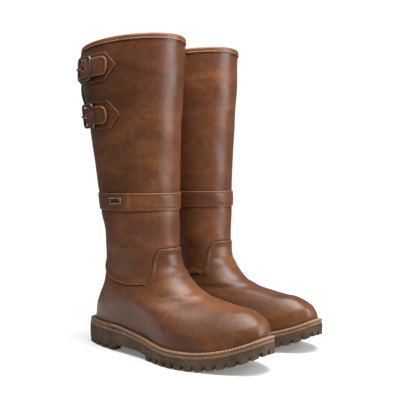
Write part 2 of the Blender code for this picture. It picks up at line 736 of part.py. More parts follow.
def strap_height(offset):
    """Underside of the strap above the leather, against millimetres ahead of the centre bar."""
    over_bar = BAR_RISE + BAR_WIRE + GAP + 0.2
    rear, front = 2.0 * GAP, CHAPE_THICK + 4.0 * GAP
    base = np.where(offset < 0.0, rear, front)
    rise = 1.0 - smooth_step((np.abs(offset) - 2.2) / 8.0)
    return base + (over_bar - base) * rise


def arc_per_degree(t, phi):
    step = upper_point(t, phi + 0.5) - upper_point(t, phi - 0.5)
    return float(np.linalg.norm(step))


def drop_per_t(t, phi):
    step = upper_point(t + 0.01, phi) - upper_point(t - 0.01, phi)
    return float(np.linalg.norm(step)) / 0.02


def strap_grid(t, phi, offsets, half_width, across):
    """Grid of (t, angle) for a band across the upper, centred on t, with a tapered half width."""
    per_degree, per_t = arc_per_degree(t, phi), drop_per_t(t, phi)
    across = np.array(across)[:, None]
    grid_t = t + across * half_width[None, :] / per_t
    grid_phi = phi + (offsets / per_degree)[None, :] + 0.0 * grid_t
    return grid_t, grid_phi


def add_strap(boot, name, t, phi, tip_phi):
    per_degree = arc_per_degree(t, phi)
    tip = (tip_phi - phi) * per_degree
    root = -STRAP_ROOT * per_degree
    tail = np.linspace(10.5, tip - 6.0, 4)
    sewn_end = root * np.array([1.0, 0.87, 0.74, 0.61, 0.48, 0.36])
    offsets = np.concatenate([sewn_end, [-14.0, -10.5, -8.6, -5.0, -1.6, 1.6, 4.5, 7.5], tail,
                              [tip - 3.0, tip - 1.0, tip]])
    half = np.full_like(offsets, STRAP_WIDTH / 2)
    half[-3:] *= (0.86, 0.62, 0.42)
    grid_t, grid_phi = strap_grid(t, phi, offsets, half, (-1.0, -SLOT_SHARE, SLOT_SHARE, 1.0))
    heights = strap_height(offsets)[None, :] + 0.0 * grid_t
    slot_columns = (8, 9, 10)
    sheet(boot, f"{name}_strap", "brown_leather", raised(grid_t, grid_phi, heights), STRAP_THICK,
          closed=False, outward=True, skip=lambda i, j: j in slot_columns and i == 1)


def add_chape(boot, name, t, phi):
    """Pointed patch sewn on the shaft, from the centre bar forward."""
    per_degree = arc_per_degree(t, phi)
    start = CHAPE_START * per_degree
    point = (CHAPE_POINT - phi) * per_degree
    shoulder = point - CHAPE_SHOULDER * per_degree
    offsets = np.concatenate([np.linspace(start, shoulder, 6), [point - 3.0, point]])
    half = np.full_like(offsets, CHAPE_WIDTH / 2)
    half[-2:] = (CHAPE_WIDTH / 2 * 0.32, CHAPE_TIP_HALF)
    grid_t, grid_phi = strap_grid(t, phi, offsets, half, (-1.0, 0.0, 1.0))
    points = raised(grid_t, grid_phi, 0.0 * grid_t + GAP)
    sheet(boot, f"{name}_chape", "brown_leather", points, CHAPE_THICK, closed=False, outward=True)


# ---------------------------------------------------------------- assembly

def make_boot(side):
    sign = SIDE_SIGN[side]
    empty = bpy.data.objects.new(f"{side}_boot_origin", None)
    empty.location = (-sign * HALF_SPACING * MM, HEEL_Y[side] * MM, 0.0)
    BOOTS.objects.link(empty)
    boot = {"name": side, "sign": sign, "empty": empty}
    add_sole(boot)
    add_bottom_filling(boot)
    add_foot(boot)
    add_stiffeners(boot)
    add_shaft(boot)
    add_lining(boot)
    add_binding(boot)
    add_band(boot)
    for name, (t, phi, tip_phi) in BUCKLES.items():
        add_buckle(boot, name, t, phi, tip_phi)


clear_scene()
BOOTS = make_collection("riding_boots")
CUTTERS = make_collection("cutters")
SHADERS = {name: make_material(name) for name in MATERIALS}
for boot_side in ("right", "left"):
    make_boot(boot_side)
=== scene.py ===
"""Looks of the pair of tall leather boots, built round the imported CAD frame.

Shapes use each boot's own coordinates in millimetres: a is sideways (positive towards the boot's
outer side), f is forward from the back of the heel, z is up. Blender's units are metres.
"""
import math

import bmesh
import bpy
import numpy as np
from mathutils import Matrix, Vector


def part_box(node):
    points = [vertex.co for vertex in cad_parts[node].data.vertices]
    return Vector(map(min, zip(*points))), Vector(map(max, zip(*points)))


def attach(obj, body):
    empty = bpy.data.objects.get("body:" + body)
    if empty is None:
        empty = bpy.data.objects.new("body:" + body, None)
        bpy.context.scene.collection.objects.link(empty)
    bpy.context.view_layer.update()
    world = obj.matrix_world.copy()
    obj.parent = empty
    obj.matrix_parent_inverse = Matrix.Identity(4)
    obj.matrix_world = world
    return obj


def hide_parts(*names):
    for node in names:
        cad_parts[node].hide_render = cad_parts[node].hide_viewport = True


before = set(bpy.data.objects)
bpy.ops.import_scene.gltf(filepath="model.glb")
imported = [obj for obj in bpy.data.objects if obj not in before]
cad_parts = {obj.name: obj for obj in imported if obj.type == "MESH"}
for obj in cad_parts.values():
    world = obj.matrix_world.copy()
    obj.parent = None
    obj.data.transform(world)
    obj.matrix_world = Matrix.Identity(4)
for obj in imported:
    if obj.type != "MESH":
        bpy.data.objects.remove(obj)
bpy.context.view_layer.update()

MM = 0.001
BOOTS = {"right": 1, "left": -1}

# ---------------------------------------------------------------- dimensions shared with the CAD

SOLE_LENGTH = 290.0
OUTLINE_U = (0.0, 0.14, 0.42, 0.66, 0.85, 1.0)
OUTLINE_OUTER = (36.3, 39.2, 43.5, 56.9, 49.8, 43.1)
OUTLINE_INNER = (38.3, 38.3, 33.4, 51.0, 48.4, 42.8)
OUTLINE_POWER = 0.62
RUBBER_TOP_HEEL = 24.6
RUBBER_TOP_BALL = 14.1
TOE_SPRING = 22.0
SPRING_START = 0.7
SLAB_BOTTOM = 8.0
HEEL_BREAST = 78.0
FOREPART_START = 142.0
ARCH_BLEND = 24.0
MIDSOLE_THICK = 2.3
WELT_BED = 0.3
WELT_THICK = 4.0
RAND_THICK = 5.6
WELT_JOINT = 66.0
FEATHER_INSET = 5.6
FEATHER_GAP = 2.6

# Rings of the upper from the rim (t = 0) to the feather edge (t = 1): t, the back and front line's
# (f, z), half width outside and inside, share of the sole's plan, sideways shift of the ridge, crown.
# They are the CAD's, but fuller by up to 4 mm at the foot of the instep and 2 mm at the toe.
RINGS = np.array([
    (0.00, -2.5, 392.5, 150.0, 403.5, 58.0, 58.0, 0.00, 0.0, 0.00),
    (0.12, 0.0, 348.0, 147.2, 353.5, 60.0, 56.0, 0.00, 0.0, 0.00),
    (0.25, 11.0, 300.0, 144.0, 300.0, 54.3, 53.5, 0.00, 0.0, 0.00),
    (0.48, 27.5, 204.4, 140.3, 204.4, 49.0, 49.0, 0.00, 0.0, 0.00),
    (0.54, 31.0, 182.4, 140.6, 182.4, 46.5, 46.5, 0.00, 0.0, 0.00),
    (0.64, 37.5, 142.0, 141.5, 146.0, 42.5, 42.5, 0.00, -2.0, 0.00),
    (0.71, 36.5, 112.0, 144.0, 123.0, 40.0, 39.0, 0.00, -3.5, 0.00),
    (0.77, 29.5, 86.0, 157.5, 101.0, 38.5, 37.5, 0.10, -5.0, 0.00),
    (0.83, 19.5, 68.0, 177.0, 84.5, 39.5, 38.5, 0.30, -6.5, 0.06),
    (0.88, 14.0, 56.0, 202.0, 75.8, 41.5, 40.0, 0.52, -7.2, 0.18),
    (0.93, 11.0, 48.0, 252.0, 69.0, 45.5, 43.5, 0.74, -5.6, 0.22),
    (0.965, 9.6, 42.5, 281.0, 68.8, 49.0, 46.5, 0.90, -3.0, 0.00),
    (0.985, 9.2, 39.0, 284.5, 61.0, 51.0, 48.0, 0.97, -1.0, 0.00),
    (1.00, 9.0, 36.0, 283.0, 44.0, 52.0, 49.0, 1.00, 0.0, 0.00),
])
CROWN_START = 0.4
SEAM_BACK = 0.700
SEAM_LOW = 0.791
SEAM_TONGUE = 0.676
SEAM_FALL = 105.0
TONGUE_HALF = 27.0
TONGUE_FLARE = 35.0
BAND_TOP_T = 0.481
BAND_BOTTOM_T = 0.539
PLATE_ANGLE = 97.5
PLATE_T = 0.505
GORE_ANGLES = (27.0, 45.0)
GORE_BOTTOM_T = 0.30
GORE_ROWS = 49
BUCKLES = {"upper": (0.092, 72.0, 102.0), "lower": (0.243, 66.0, 96.0)}
FRAME_SIZE = (34.0, 31.0)
FRAME_RISE = 6.0
BAR_RISE = 3.65
STRAP_WIDTH = 22.0
STRAP_ROOT = 56.0
CHAPE_WIDTH = 34.0
CHAPE_POINT = 110.0
CHAPE_SHOULDER = 12.0

# ---------------------------------------------------------------- looks, lengths in mm

# Leather length in millimetres for one unit of t, on the upper as a whole and at its details.
MM_PER_T = 400.0
SEAM_MM_PER_T = 420.0
BAND_MM_PER_T = 370.0
GORE_MM_PER_T = 390.0
LEATHER_THICK = 1.7
CREASE = 0.55
SEAM_LAP_T = 0.016
SEAM_RAISE = 1.5
SEAM_SINK = 1.2
SEAM_THREAD_INSET = 2.8
SEAM_THREAD_RISE = 1.55
BAND_RISE = 1.35
BAND_LAP = 0.9
BAND_THREAD_INSET = 2.4
GORE_BELLY = 5.4
GORE_RIBS = 15
GORE_SUNK = 2.3
LAP_ANGLE = 116.0
RIM_TOP_T = 0.0035
TIP_ROUND = 8.0
STRAP_BULK = 2.3
STRAP_SLOT = (-8.7, 2.2)
STRAP_THREAD_INSET = 2.4
CHAPE_TAPER = 0.93
CHAPE_THREAD_INSET = 3.0
OVAL_POWER = 0.6
SHARP_ANGLE = math.radians(40.0)
BEVEL_ANGLE = math.radians(45.0)
WELT_INSET = 0.9
LUG_DEPTH = 5.4
LUG_EDGE = 0.35
HEEL_SPLIT = 5.0

# Thread of a row: its finish, then the pitch, length and radius of its stitches.
THREADS = {
    "fine": ("brown_thread", 3.4, 2.6, 0.36),
    "strap": ("brown_thread", 3.0, 2.3, 0.34),
    "lap": ("tan_thread", 2.6, 1.9, 0.30),
    "welt": ("tan_thread", 4.0, 3.6, 0.75),
    "welt_inner": ("brown_thread", 3.3, 2.8, 0.5),
}
# One stitch from end to end: place along its length, girth and rise as shares of its radius.
STITCH_SHAPE = ((-0.5, 0.25, -0.55), (-0.42, 0.8, -0.1), (-0.18, 1.0, 0.12),
                (0.18, 1.0, 0.12), (0.42, 0.8, -0.1), (0.5, 0.25, -0.55))
STITCH_SIDES = 6

# Strength of the white world and floor as the object's light, and the camera, in metres and degrees.
FILL_STRENGTH = 0.18
FLOOR_GLOW = 0.16
CAMERA_PLACE = (-0.7359, -0.6059, 0.2310)
CAMERA_AZIMUTH = -50.39
CAMERA_PITCH = -2.257
CAMERA_LENS = 64.53


# ---------------------------------------------------------------- curves and surfaces

def smooth_step(x):
    x = np.clip(x, 0.0, 1.0)
    return x * x * (3.0 - 2.0 * x)


def bell(x, width):
    """Smooth bump of height 1 at x = 0."""
    return np.exp(-(np.asarray(x) / width) ** 2)


def full_turn(count):
    """Angles in degrees of evenly spaced columns round the boot."""
    return np.linspace(0.0, 360.0, count, endpoint=False)


def ring_grid(t, phi):
    """Rows of t and columns of phi over a piece of the upper."""
    return np.meshgrid(t, phi, indexing="ij")


def circle(count):
    """Angles of evenly spaced points round a full turn."""
    return np.linspace(0.0, 2.0 * math.pi, count, endpoint=False)


def station_curve(x, xs, ys):
    """Monotone cubic through the stations (xs, ys), without overshoot."""
    xs = np.asarray(xs, float)
    ys = np.asarray(ys, float)
    steps = np.diff(xs)
    slopes = np.diff(ys) / steps
    tangents = np.zeros_like(ys)
    tangents[0], tangents[-1] = slopes[0], slopes[-1]
    for i in range(1, len(xs) - 1):
        left, right = slopes[i - 1], slopes[i]
        if left * right > 0.0:
            w1 = 2.0 * steps[i] + steps[i - 1]
            w2 = steps[i] + 2.0 * steps[i - 1]
            tangents[i] = (w1 + w2) / (w1 / left + w2 / right)
    x = np.clip(x, xs[0], xs[-1])
    i = np.clip(np.searchsorted(xs, x, side="right") - 1, 0, len(steps) - 1)
    s = (x - xs[i]) / steps[i]
    return (ys[i] * (1 + 2 * s) * (1 - s) ** 2 + tangents[i] * steps[i] * s * (1 - s) ** 2
            + ys[i + 1] * s * s * (3 - 2 * s) - tangents[i + 1] * steps[i] * s * s * (1 - s))


def half_widths(u, inset=0.0):
    """Outer and inner half width of the sole's plan at the share u of its length."""
    rounded = np.sin(np.arccos(np.clip(1.0 - 2.0 * u, -1.0, 1.0))) ** OUTLINE_POWER
    outer = station_curve(u, OUTLINE_U, OUTLINE_OUTER) - inset
    inner = station_curve(u, OUTLINE_U, OUTLINE_INNER) - inset
    return rounded * outer, rounded * inner


def toe_rise(f):
    return TOE_SPRING * np.clip((f / SOLE_LENGTH - SPRING_START) / (1.0 - SPRING_START), 0.0, 1.0) ** 2


def rubber_top(f):
    fall = smooth_step((f / SOLE_LENGTH - 0.27) / 0.35)
    return RUBBER_TOP_HEEL + (RUBBER_TOP_BALL - RUBBER_TOP_HEEL) * fall + toe_rise(f)


def rubber_bottom(f):
    forepart = smooth_step((f - FOREPART_START + ARCH_BLEND) / ARCH_BLEND)
    return SLAB_BOTTOM * (1.0 - forepart) + toe_rise(f)


def midsole_top(f):
    return rubber_top(f) + MIDSOLE_THICK


def welt_top(f):
    share = smooth_step((f - WELT_JOINT) / 40.0)
    return midsole_top(f) + WELT_BED + RAND_THICK + (WELT_THICK - RAND_THICK) * share


def feather_height(f):
    """Height of the upper's lower edge above the ground."""
    return welt_top(f) + FEATHER_GAP


def upper_point(t, phi):
    """Outer face of the upper at ring parameter t and angle phi in degrees (0 back, 90 outer)."""
    t, phi = np.broadcast_arrays(np.asarray(t, float), np.radians(np.asarray(phi, float)))
    back_f, back_z, front_f, front_z, w_outer, w_inner, plan, ridge, crown = (
        station_curve(t, RINGS[:, 0], RINGS[:, k]) for k in range(1, 10))
    u = (1.0 - np.cos(phi)) / 2.0
    outer_side = np.sin(phi) >= 0.0
    ellipse = np.where(outer_side, w_outer, w_inner) * np.abs(np.sin(phi))
    outer, inner = half_widths(u, FEATHER_INSET)
    side = (1.0 - plan) * ellipse + plan * np.where(outer_side, outer, inner)
    side = side * (1.0 - crown * smooth_step((u - CROWN_START) / (1.0 - CROWN_START)))
    a = side * np.where(outer_side, 1.0, -1.0) + ridge * u ** 1.5
    f = back_f + (front_f - back_f) * u
    line = back_z + (front_z - back_z) * u
    low_end, high_end = feather_height(back_f), feather_height(front_f)
    bow = feather_height(f) - (low_end + (high_end - low_end) * u)
    lift = low_end + (high_end - low_end) * u - line
    last = smooth_step((t - 0.93) / 0.07)
    return np.stack([a, f, line + bow * plan + lift * last], axis=-1)


def unit(vectors):
    return vectors / np.linalg.norm(vectors, axis=-1, keepdims=True)


def upper_normal(t, phi):
    t, phi = np.broadcast_arrays(np.asarray(t, float), np.asarray(phi, float))
    dt, dphi = 0.003, 1.5
    down = upper_point(np.minimum(t + dt, 1.0), phi) - upper_point(np.maximum(t - dt, 0.0), phi)
    return unit(np.cross(down, upper_point(t, phi + dphi) - upper_point(t, phi - dphi)))


def raised(t, phi, height):
    """Points a height in millimetres above the outer face of the upper."""
    return upper_point(t, phi) + upper_normal(t, phi) * np.asarray(height)[..., None]


def from_back(phi):
    """Degrees away from the back of the boot, on either side."""
    return np.abs((np.asarray(phi, float) + 180.0) % 360.0 - 180.0)


def seam_t(phi):
    """Ring parameter of the seam between shaft and foot, which rises into the vamp's tongue."""
    turn = from_back(phi)
    side = SEAM_BACK + (SEAM_LOW - SEAM_BACK) * smooth_step(turn / SEAM_FALL)
    flare = smooth_step((180.0 - turn - TONGUE_HALF) / TONGUE_FLARE)
    return np.minimum(side, SEAM_TONGUE + (SEAM_LOW - SEAM_TONGUE) * flare)


def vamp_on_top(phi):
    """1 where the vamp's tongue laps over the shaft, 0 where the shaft laps over the foot piece."""
    return smooth_step((from_back(phi) - 114.0) / 10.0)


def arc_per_degree(t, phi):
    return float(np.linalg.norm(upper_point(t, phi + 0.5) - upper_point(t, phi - 0.5)))


def drop_per_t(t, phi):
    return float(np.linalg.norm(upper_point(t + 0.01, phi) - upper_point(t - 0.01, phi))) / 0.02


# ---------------------------------------------------------------- meshes

class Boot:
    """One boot of the pair: its name, its side and where its heel stands."""

    def __init__(self, name):
        self.name = name
        self.sign = BOOTS[name]
        low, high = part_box(f"{name}_outsole")
        low_a = low.x if self.sign > 0 else -high.x
        self.heel_y = high.y
        self.centre_x = -self.sign * abs(low_a) + self.sign * widest_outer() * MM
        self.body = f"{name}_boot"

    def place(self, points):
        """Boot coordinates in millimetres to world metres."""
        points = np.asarray(points, float)
        return np.stack([self.centre_x - self.sign * points[..., 0] * MM,
                         self.heel_y - points[..., 1] * MM, points[..., 2] * MM], axis=-1)


def widest_outer():
    """Outermost point of the CAD outsole, whose sections follow the same spacing as here."""
    theta = np.linspace(0.0, math.pi, 34)
    return float(half_widths((1.0 - np.cos(theta)) / 2.0)[0].max())


def grid_faces(rows, columns, closed, skip=None):
    """Faces of a sheet's grid, whose last column joins the first if closed, without the skipped cells."""
    faces = []
    for i in range(rows - 1):
        for j in range(columns if closed else columns - 1):
            if skip is None or not skip(i, j):
                k = (j + 1) % columns
                faces.append((i * columns + j, (i + 1) * columns + j,
                              (i + 1) * columns + k, i * columns + k))
    return faces


def ring_faces(rings, sides, looped=False, capped=True, base=0):
    """Faces joining rings of so many vertices; a row that isn't looped may have a cap at each end."""
    faces = []
    for i in range(rings if looped else rings - 1):
        here, there = base + i * sides, base + (i + 1) % rings * sides
        for j in range(sides):
            k = (j + 1) % sides
            faces.append((here + j, here + k, there + k, there + j))
    if capped and not looped:
        faces.append(tuple(range(base + sides - 1, base - 1, -1)))
        faces.append(tuple(range(base + (rings - 1) * sides, base + rings * sides)))
    return faces


def make_object(boot, name, vertices, faces, material, replaces=None, body=None, solid=True):
    """Mesh piece in world metres, riding on its body and standing for a CAD node."""
    mesh = bpy.data.meshes.new(name)
    if boot.sign < 0:
        faces = [tuple(face[::-1]) for face in faces]
    mesh.from_pydata([tuple(v) for v in np.asarray(vertices)], [], faces)
    mesh.update()
    bm = bmesh.new()
    bm.from_mesh(mesh)
    loose = [v for v in bm.verts if not v.link_faces]
    bmesh.ops.delete(bm, geom=loose, context="VERTS")
    bm.to_mesh(mesh)
    mesh.materials.append(MATERIAL[material])
    mesh.shade_smooth()
    mesh.set_sharp_from_angle(angle=SHARP_ANGLE)
    if solid:
        bm.clear()
        bm.from_mesh(mesh)
        bmesh.ops.recalc_face_normals(bm, faces=bm.faces)
        bm.to_mesh(mesh)
    bm.free()
    obj = bpy.data.objects.new(f"{boot.name}_{name}", mesh)
    bpy.context.scene.collection.objects.link(obj)
    PIECES.append((obj, body or boot.body, replaces and f"{boot.name}_{replaces}"))
    return obj


def solidify(obj, thickness, offset):
    modifier = obj.modifiers.new("thickness", "SOLIDIFY")
    modifier.thickness = thickness * MM
    modifier.offset = offset
    modifier.use_even_offset = False


def round_edges(obj, width):
    modifier = obj.modifiers.new("edges", "BEVEL")
    modifier.width = width * MM
    modifier.segments = 2
    modifier.limit_method = "ANGLE"
    modifier.angle_limit = BEVEL_ANGLE


def paint(obj, name, values):
    """Store one number a vertex for the material to read."""
    attribute = obj.data.attributes.new(name, "FLOAT", "POINT")
    attribute.data.foreach_set("value", np.asarray(values, np.float32).ravel())


def sheet(boot, name, material, points, thickness, closed=True, tone=None, skip=None,
          replaces=None, edge=0.5, offset=-1.0):
    """Thin piece from a grid of boot points on its outer face, or on its inner face at offset 1."""
    faces = grid_faces(*points.shape[:2], closed, skip)
    vertices = boot.place(points).reshape(-1, 3)
    used = np.zeros(len(vertices), bool)
    used[np.array(faces).ravel()] = True
    obj = make_object(boot, name, vertices, faces, material, replaces, solid=False)
    if tone is not None:
        paint(obj, "tone", np.asarray(tone).reshape(-1)[used])
    solidify(obj, thickness, offset)
    if edge:
        round_edges(obj, edge)


# ---------------------------------------------------------------- threads

def resample(points, normals, spacing):
    steps = np.linalg.norm(np.diff(points, axis=0), axis=1)
    travel = np.concatenate([[0.0], np.cumsum(steps)])
    count = max(2, int(round(travel[-1] / spacing)) + 1)
    marks = np.linspace(0.0, travel[-1], count)
    points, normals = (np.stack([np.interp(marks, travel, values[:, k]) for k in range(3)], axis=-1)
                       for values in (points, normals))
    return points, unit(normals)


def stitch_row(boot, name, points, normals, thread, slant=0.0):
    """Row of thread stitches lying on a line of boot points, with outward normals."""
    material, pitch, length, radius = THREADS[thread]
    fine, fine_normals = resample(points, normals, pitch)
    middle = (fine[1:] + fine[:-1]) / 2.0
    along = unit(fine[1:] - fine[:-1])
    out = (fine_normals[1:] + fine_normals[:-1]) / 2.0
    out = unit(out - along * (out * along).sum(-1, keepdims=True))
    across = np.cross(out, along)
    along = along * math.cos(slant) + across * math.sin(slant)
    across = np.cross(out, along)
    vertices = []
    for place, girth, rise in STITCH_SHAPE:
        centre = middle + along * place * length + out * rise * radius
        for angle in circle(STITCH_SIDES):
            vertices.append(centre + (out * math.sin(angle) + across * math.cos(angle)) * radius * girth)
    vertices = np.stack(vertices, axis=1)
    faces = []
    for n in range(len(middle)):
        faces += ring_faces(len(STITCH_SHAPE), STITCH_SIDES, base=n * vertices.shape[1])
    make_object(boot, name, boot.place(vertices.reshape(-1, 3)), faces, material, solid=False)


def upper_stitches(boot, name, t, phi, height, thread="fine"):
    t, phi = np.broadcast_arrays(np.asarray(t, float), np.asarray(phi, float))
    stitch_row(boot, name, raised(t, phi, 0.0 * t + height), upper_normal(t, phi), thread)


# ---------------------------------------------------------------- materials

class Graph:
    """Node tree of a material or of the world, with the kinds of node that the finishes use."""

    def __init__(self, tree):
        self.nodes, self.links = tree.nodes, tree.links

    def feed(self, socket, value):
        """Link a socket to another one's output, or give it a plain value."""
        if isinstance(value, bpy.types.NodeSocket):
            self.links.new(value, socket)
        elif socket.type == "RGBA":
            socket.default_value = (*value, 1.0)
        else:
            socket.default_value = value

    def new(self, kind, **values):
        """Node of a kind, with its inputs and settings by name."""
        made = self.nodes.new("ShaderNode" + kind)
        self.set(made, **values)
        return made

    def set(self, made, **values):
        for key, value in values.items():
            if key.replace("_", " ") in made.inputs:
                self.feed(made.inputs[key.replace("_", " ")], value)
            else:
                setattr(made, key, value)

    def math(self, operation, *values):
        made = self.new("Math", operation=operation)
        for socket, value in zip(made.inputs, values):
            self.feed(socket, value)
        return made.outputs[0]

    def mix(self, factor, one, two, blend="MIX"):
        made = self.new("Mix", data_type="RGBA", blend_type=blend)
        for index, value in ((0, factor), (6, one), (7, two)):
            self.feed(made.inputs[index], value)
        return made.outputs[2]

    def noise(self, where, scale, detail=4.0, roughness=0.55, distortion=0.0):
        return self.new("TexNoise", Vector=where, Scale=scale, Detail=detail, Roughness=roughness,
                        Distortion=distortion).outputs["Fac"]

    def ramp(self, value, *stops):
        """Colour ramp through stops of (position, colour)."""
        made = self.new("ValToRGB", Fac=value)
        elements = made.color_ramp.elements
        while len(elements) < len(stops):
            elements.new(0.5)
        for element, (position, colour) in zip(elements, stops):
            element.position = position
            element.color = (*colour, 1.0)
        return made.outputs["Color"]

    def bump(self, height, distance, strength, **under):
        return self.new("Bump", Strength=strength, Distance=distance, Height=height,
                        **under).outputs["Normal"]


def new_material(name):
    """Empty material, its graph, its shader and its object coordinates."""
    material = bpy.data.materials.new(name)
    material.use_nodes = True
    graph = Graph(material.node_tree)
    where = graph.new("TexCoord").outputs["Object"]
    return material, graph, graph.nodes["Principled BSDF"], where


def leather_material(name, dark, mid, light, roughness=0.36, specular=0.33):
    """Waxed full-grain leather: cloudy tone, fine pebble grain, soft creases; the tone attribute paints
    paler edges (part wear, part painted highlight) and painted shade.
    """
    material, graph, shader, where = new_material(name)
    flattened = graph.new("Mapping", Scale=(1.0, 1.0, 2.2), Vector=where).outputs["Vector"]
    clouds = graph.noise(flattened, 11.0, 4.0, 0.55, 0.8)
    colour = graph.ramp(clouds, (0.28, dark), (0.50, mid), (0.72, light))
    warmth = graph.noise(flattened, 23.0, 3.0, 0.5, 0.4)
    warm = graph.ramp(warmth, (0.42, (0.94, 0.95, 1.08)), (0.62, (1.12, 1.02, 0.80)))
    colour = graph.mix(0.8, colour, warm, "MULTIPLY")
    mottle = graph.noise(where, 190.0, 6.0, 0.65)
    speckle = graph.ramp(mottle, (0.36, (0.82, 0.80, 0.78)), (0.66, (1.18, 1.17, 1.16)))
    colour = graph.mix(0.9, colour, speckle, "MULTIPLY")
    # tone above 0 paints paler edges, part wear and part painted highlight; below 0 paints shade into seams,
    # lap edges, stitch lines and under overlapping parts.
    tone = graph.new("Attribute", attribute_name="tone").outputs["Fac"]
    paler = graph.ramp(tone, (0.0, (0.0, 0.0, 0.0)), (1.0, (1.0, 1.0, 1.0)))
    darker = graph.math("MULTIPLY_ADD", tone, -1.0, 0.0)
    darker = graph.new("Clamp", Value=darker).outputs[0]
    colour = graph.mix(darker, colour, tuple(c * 0.28 for c in dark))
    colour = graph.mix(paler, colour, tuple(min(1.0, c * 1.9 + 0.02) for c in light))
    patches = graph.noise(where, 40.0, 4.0)
    shine = graph.math("MULTIPLY_ADD", patches, 0.24, roughness - 0.12)
    pebbles = graph.new("TexVoronoi", Scale=850.0, feature="SMOOTH_F1", Vector=where)
    pores = graph.noise(where, 2200.0, 2.0)
    pores = graph.math("MULTIPLY_ADD", pores, 0.35, 0.0)
    fine = graph.math("ADD", pebbles.outputs["Distance"], pores)
    creases = graph.noise(where, 75.0, 6.0, 0.62, 1.2)
    normal = graph.bump(creases, 0.0006, 0.22)
    normal = graph.bump(fine, 0.0004, 0.22, Normal=normal)
    graph.set(shader, Base_Color=colour, Roughness=shine, Normal=normal, Specular_IOR_Level=specular)
    return material


def plain_material(name, dark, light, scale, roughness, metallic=0.0, bump_scale=400.0,
                   bump_depth=0.0002, specular=0.4):
    """Mottled surface with a fine bump, for rubber, board, cork, metal and thread."""
    material, graph, shader, where = new_material(name)
    clouds = graph.noise(where, scale, 5.0, 0.6, 0.3)
    colour = graph.ramp(clouds, (0.32, dark), (0.68, light))
    shine = graph.math("MULTIPLY_ADD", clouds, 0.3, roughness - 0.15)
    rough = graph.noise(where, bump_scale, 5.0, 0.6)
    graph.set(shader, Base_Color=colour, Roughness=shine, Metallic=metallic,
              Specular_IOR_Level=specular, Normal=graph.bump(rough, bump_depth, 0.5))
    return material


def elastic_material(name):
    """Black woven elastic: its ribs are modelled, the weave is a bump across them."""
    material, graph, shader, where = new_material(name)
    weave = graph.new("TexWave", Scale=420.0, Distortion=0.4, Detail=1.0, wave_type="BANDS",
                      bands_direction="Z", Vector=where).outputs["Fac"]
    colour = graph.ramp(weave, (0.2, (0.006, 0.006, 0.006)), (0.8, (0.028, 0.026, 0.026)))
    graph.set(shader, Base_Color=colour, Roughness=0.9, Normal=graph.bump(weave, 0.0003, 0.6))
    return material


def build_materials():
    """Every finish by name."""
    leathers = {
        "brown_leather": ((0.070, 0.023, 0.009), (0.100, 0.035, 0.013), (0.156, 0.057, 0.019)),
        # foot_leather is a darker copy of brown_leather; its extra darkness is painted shade on the foot
        # piece.
        "foot_leather": ((0.052, 0.018, 0.007), (0.082, 0.029, 0.010), (0.134, 0.050, 0.016), 0.38, 0.32),
        "tan_leather": ((0.20, 0.085, 0.035), (0.27, 0.12, 0.05), (0.34, 0.16, 0.07), 0.5),
        "lining_leather": ((0.17, 0.09, 0.045), (0.23, 0.125, 0.065), (0.28, 0.16, 0.085), 0.72),
        "welt_leather": ((0.070, 0.030, 0.013), (0.100, 0.046, 0.021), (0.14, 0.068, 0.032), 0.6),
    }
    plain = {
        "midsole": ((0.12, 0.068, 0.036), (0.20, 0.122, 0.068), 120.0, 0.7, {"specular": 0.2}),
        "rubber": ((0.044, 0.027, 0.017), (0.086, 0.056, 0.037), 75.0, 0.8,
                   {"bump_scale": 900.0, "bump_depth": 0.00035, "specular": 0.12}),
        "board": ((0.25, 0.17, 0.10), (0.36, 0.26, 0.16), 200.0, 0.85, {}),
        "cork": ((0.16, 0.08, 0.035), (0.36, 0.22, 0.11), 350.0, 0.9, {"bump_depth": 0.0006}),
        "footbed": ((0.05, 0.032, 0.024), (0.10, 0.066, 0.048), 260.0, 0.85, {}),
        "steel": ((0.40, 0.40, 0.41), (0.55, 0.55, 0.56), 90.0, 0.35, {"metallic": 1.0}),
        "bronze": ((0.085, 0.065, 0.048), (0.24, 0.19, 0.145), 170.0, 0.50,
                   {"metallic": 1.0, "bump_scale": 500.0, "bump_depth": 0.00006}),
        "brass": ((0.22, 0.16, 0.09), (0.42, 0.32, 0.20), 260.0, 0.42,
                  {"metallic": 1.0, "bump_depth": 0.00008}),
        "brass_floor": ((0.05, 0.035, 0.02), (0.12, 0.09, 0.055), 260.0, 0.55,
                        {"metallic": 1.0, "bump_depth": 0.00008}),
        "brown_thread": ((0.10, 0.040, 0.016), (0.18, 0.075, 0.033), 900.0, 0.6, {"specular": 0.2}),
        "tan_thread": ((0.24, 0.14, 0.072), (0.38, 0.24, 0.135), 900.0, 0.6, {"specular": 0.2}),
    }
    made = {name: leather_material(name, *values) for name, values in leathers.items()}
    made.update((name, plain_material(name, *values[:-1], **values[-1])) for name, values in plain.items())
    made["elastic"] = elastic_material("elastic")
    return made


# ---------------------------------------------------------------- upper

def leather_relief(boot, t, phi):
    """Gentle unevenness of the upper in millimetres: hide waves, ankle creases and vamp flex lines."""
    phase = 0.9 if boot.sign > 0 else 2.3
    turn = np.radians(phi)
    back = from_back(phi)
    waves = (0.30 * np.sin(3.0 * turn + 17.0 * t + phase)
             + 0.20 * np.sin(5.0 * turn - 31.0 * t + 2.0 * phase)
             + 0.14 * np.sin(8.0 * turn + 47.0 * t))
    folds = np.sin(58.0 * t + 1.4 * np.sin(turn + phase)) * bell(t - 0.60, 0.09) * bell(back - 60.0, 70.0)
    throat = np.sin(150.0 * t + 1.1 * np.cos(2.0 * turn)) * bell(t - 0.735, 0.035) * bell(back - 180.0, 34.0)
    flex = np.sin(120.0 * t + 2.0 * turn) * bell(t - 0.865, 0.03) * bell(back - 155.0, 36.0)
    calm = smooth_step((1.0 - t) / 0.06) * smooth_step(t / 0.04)
    return calm * (waves + CREASE * folds) + CREASE * (throat + flex)


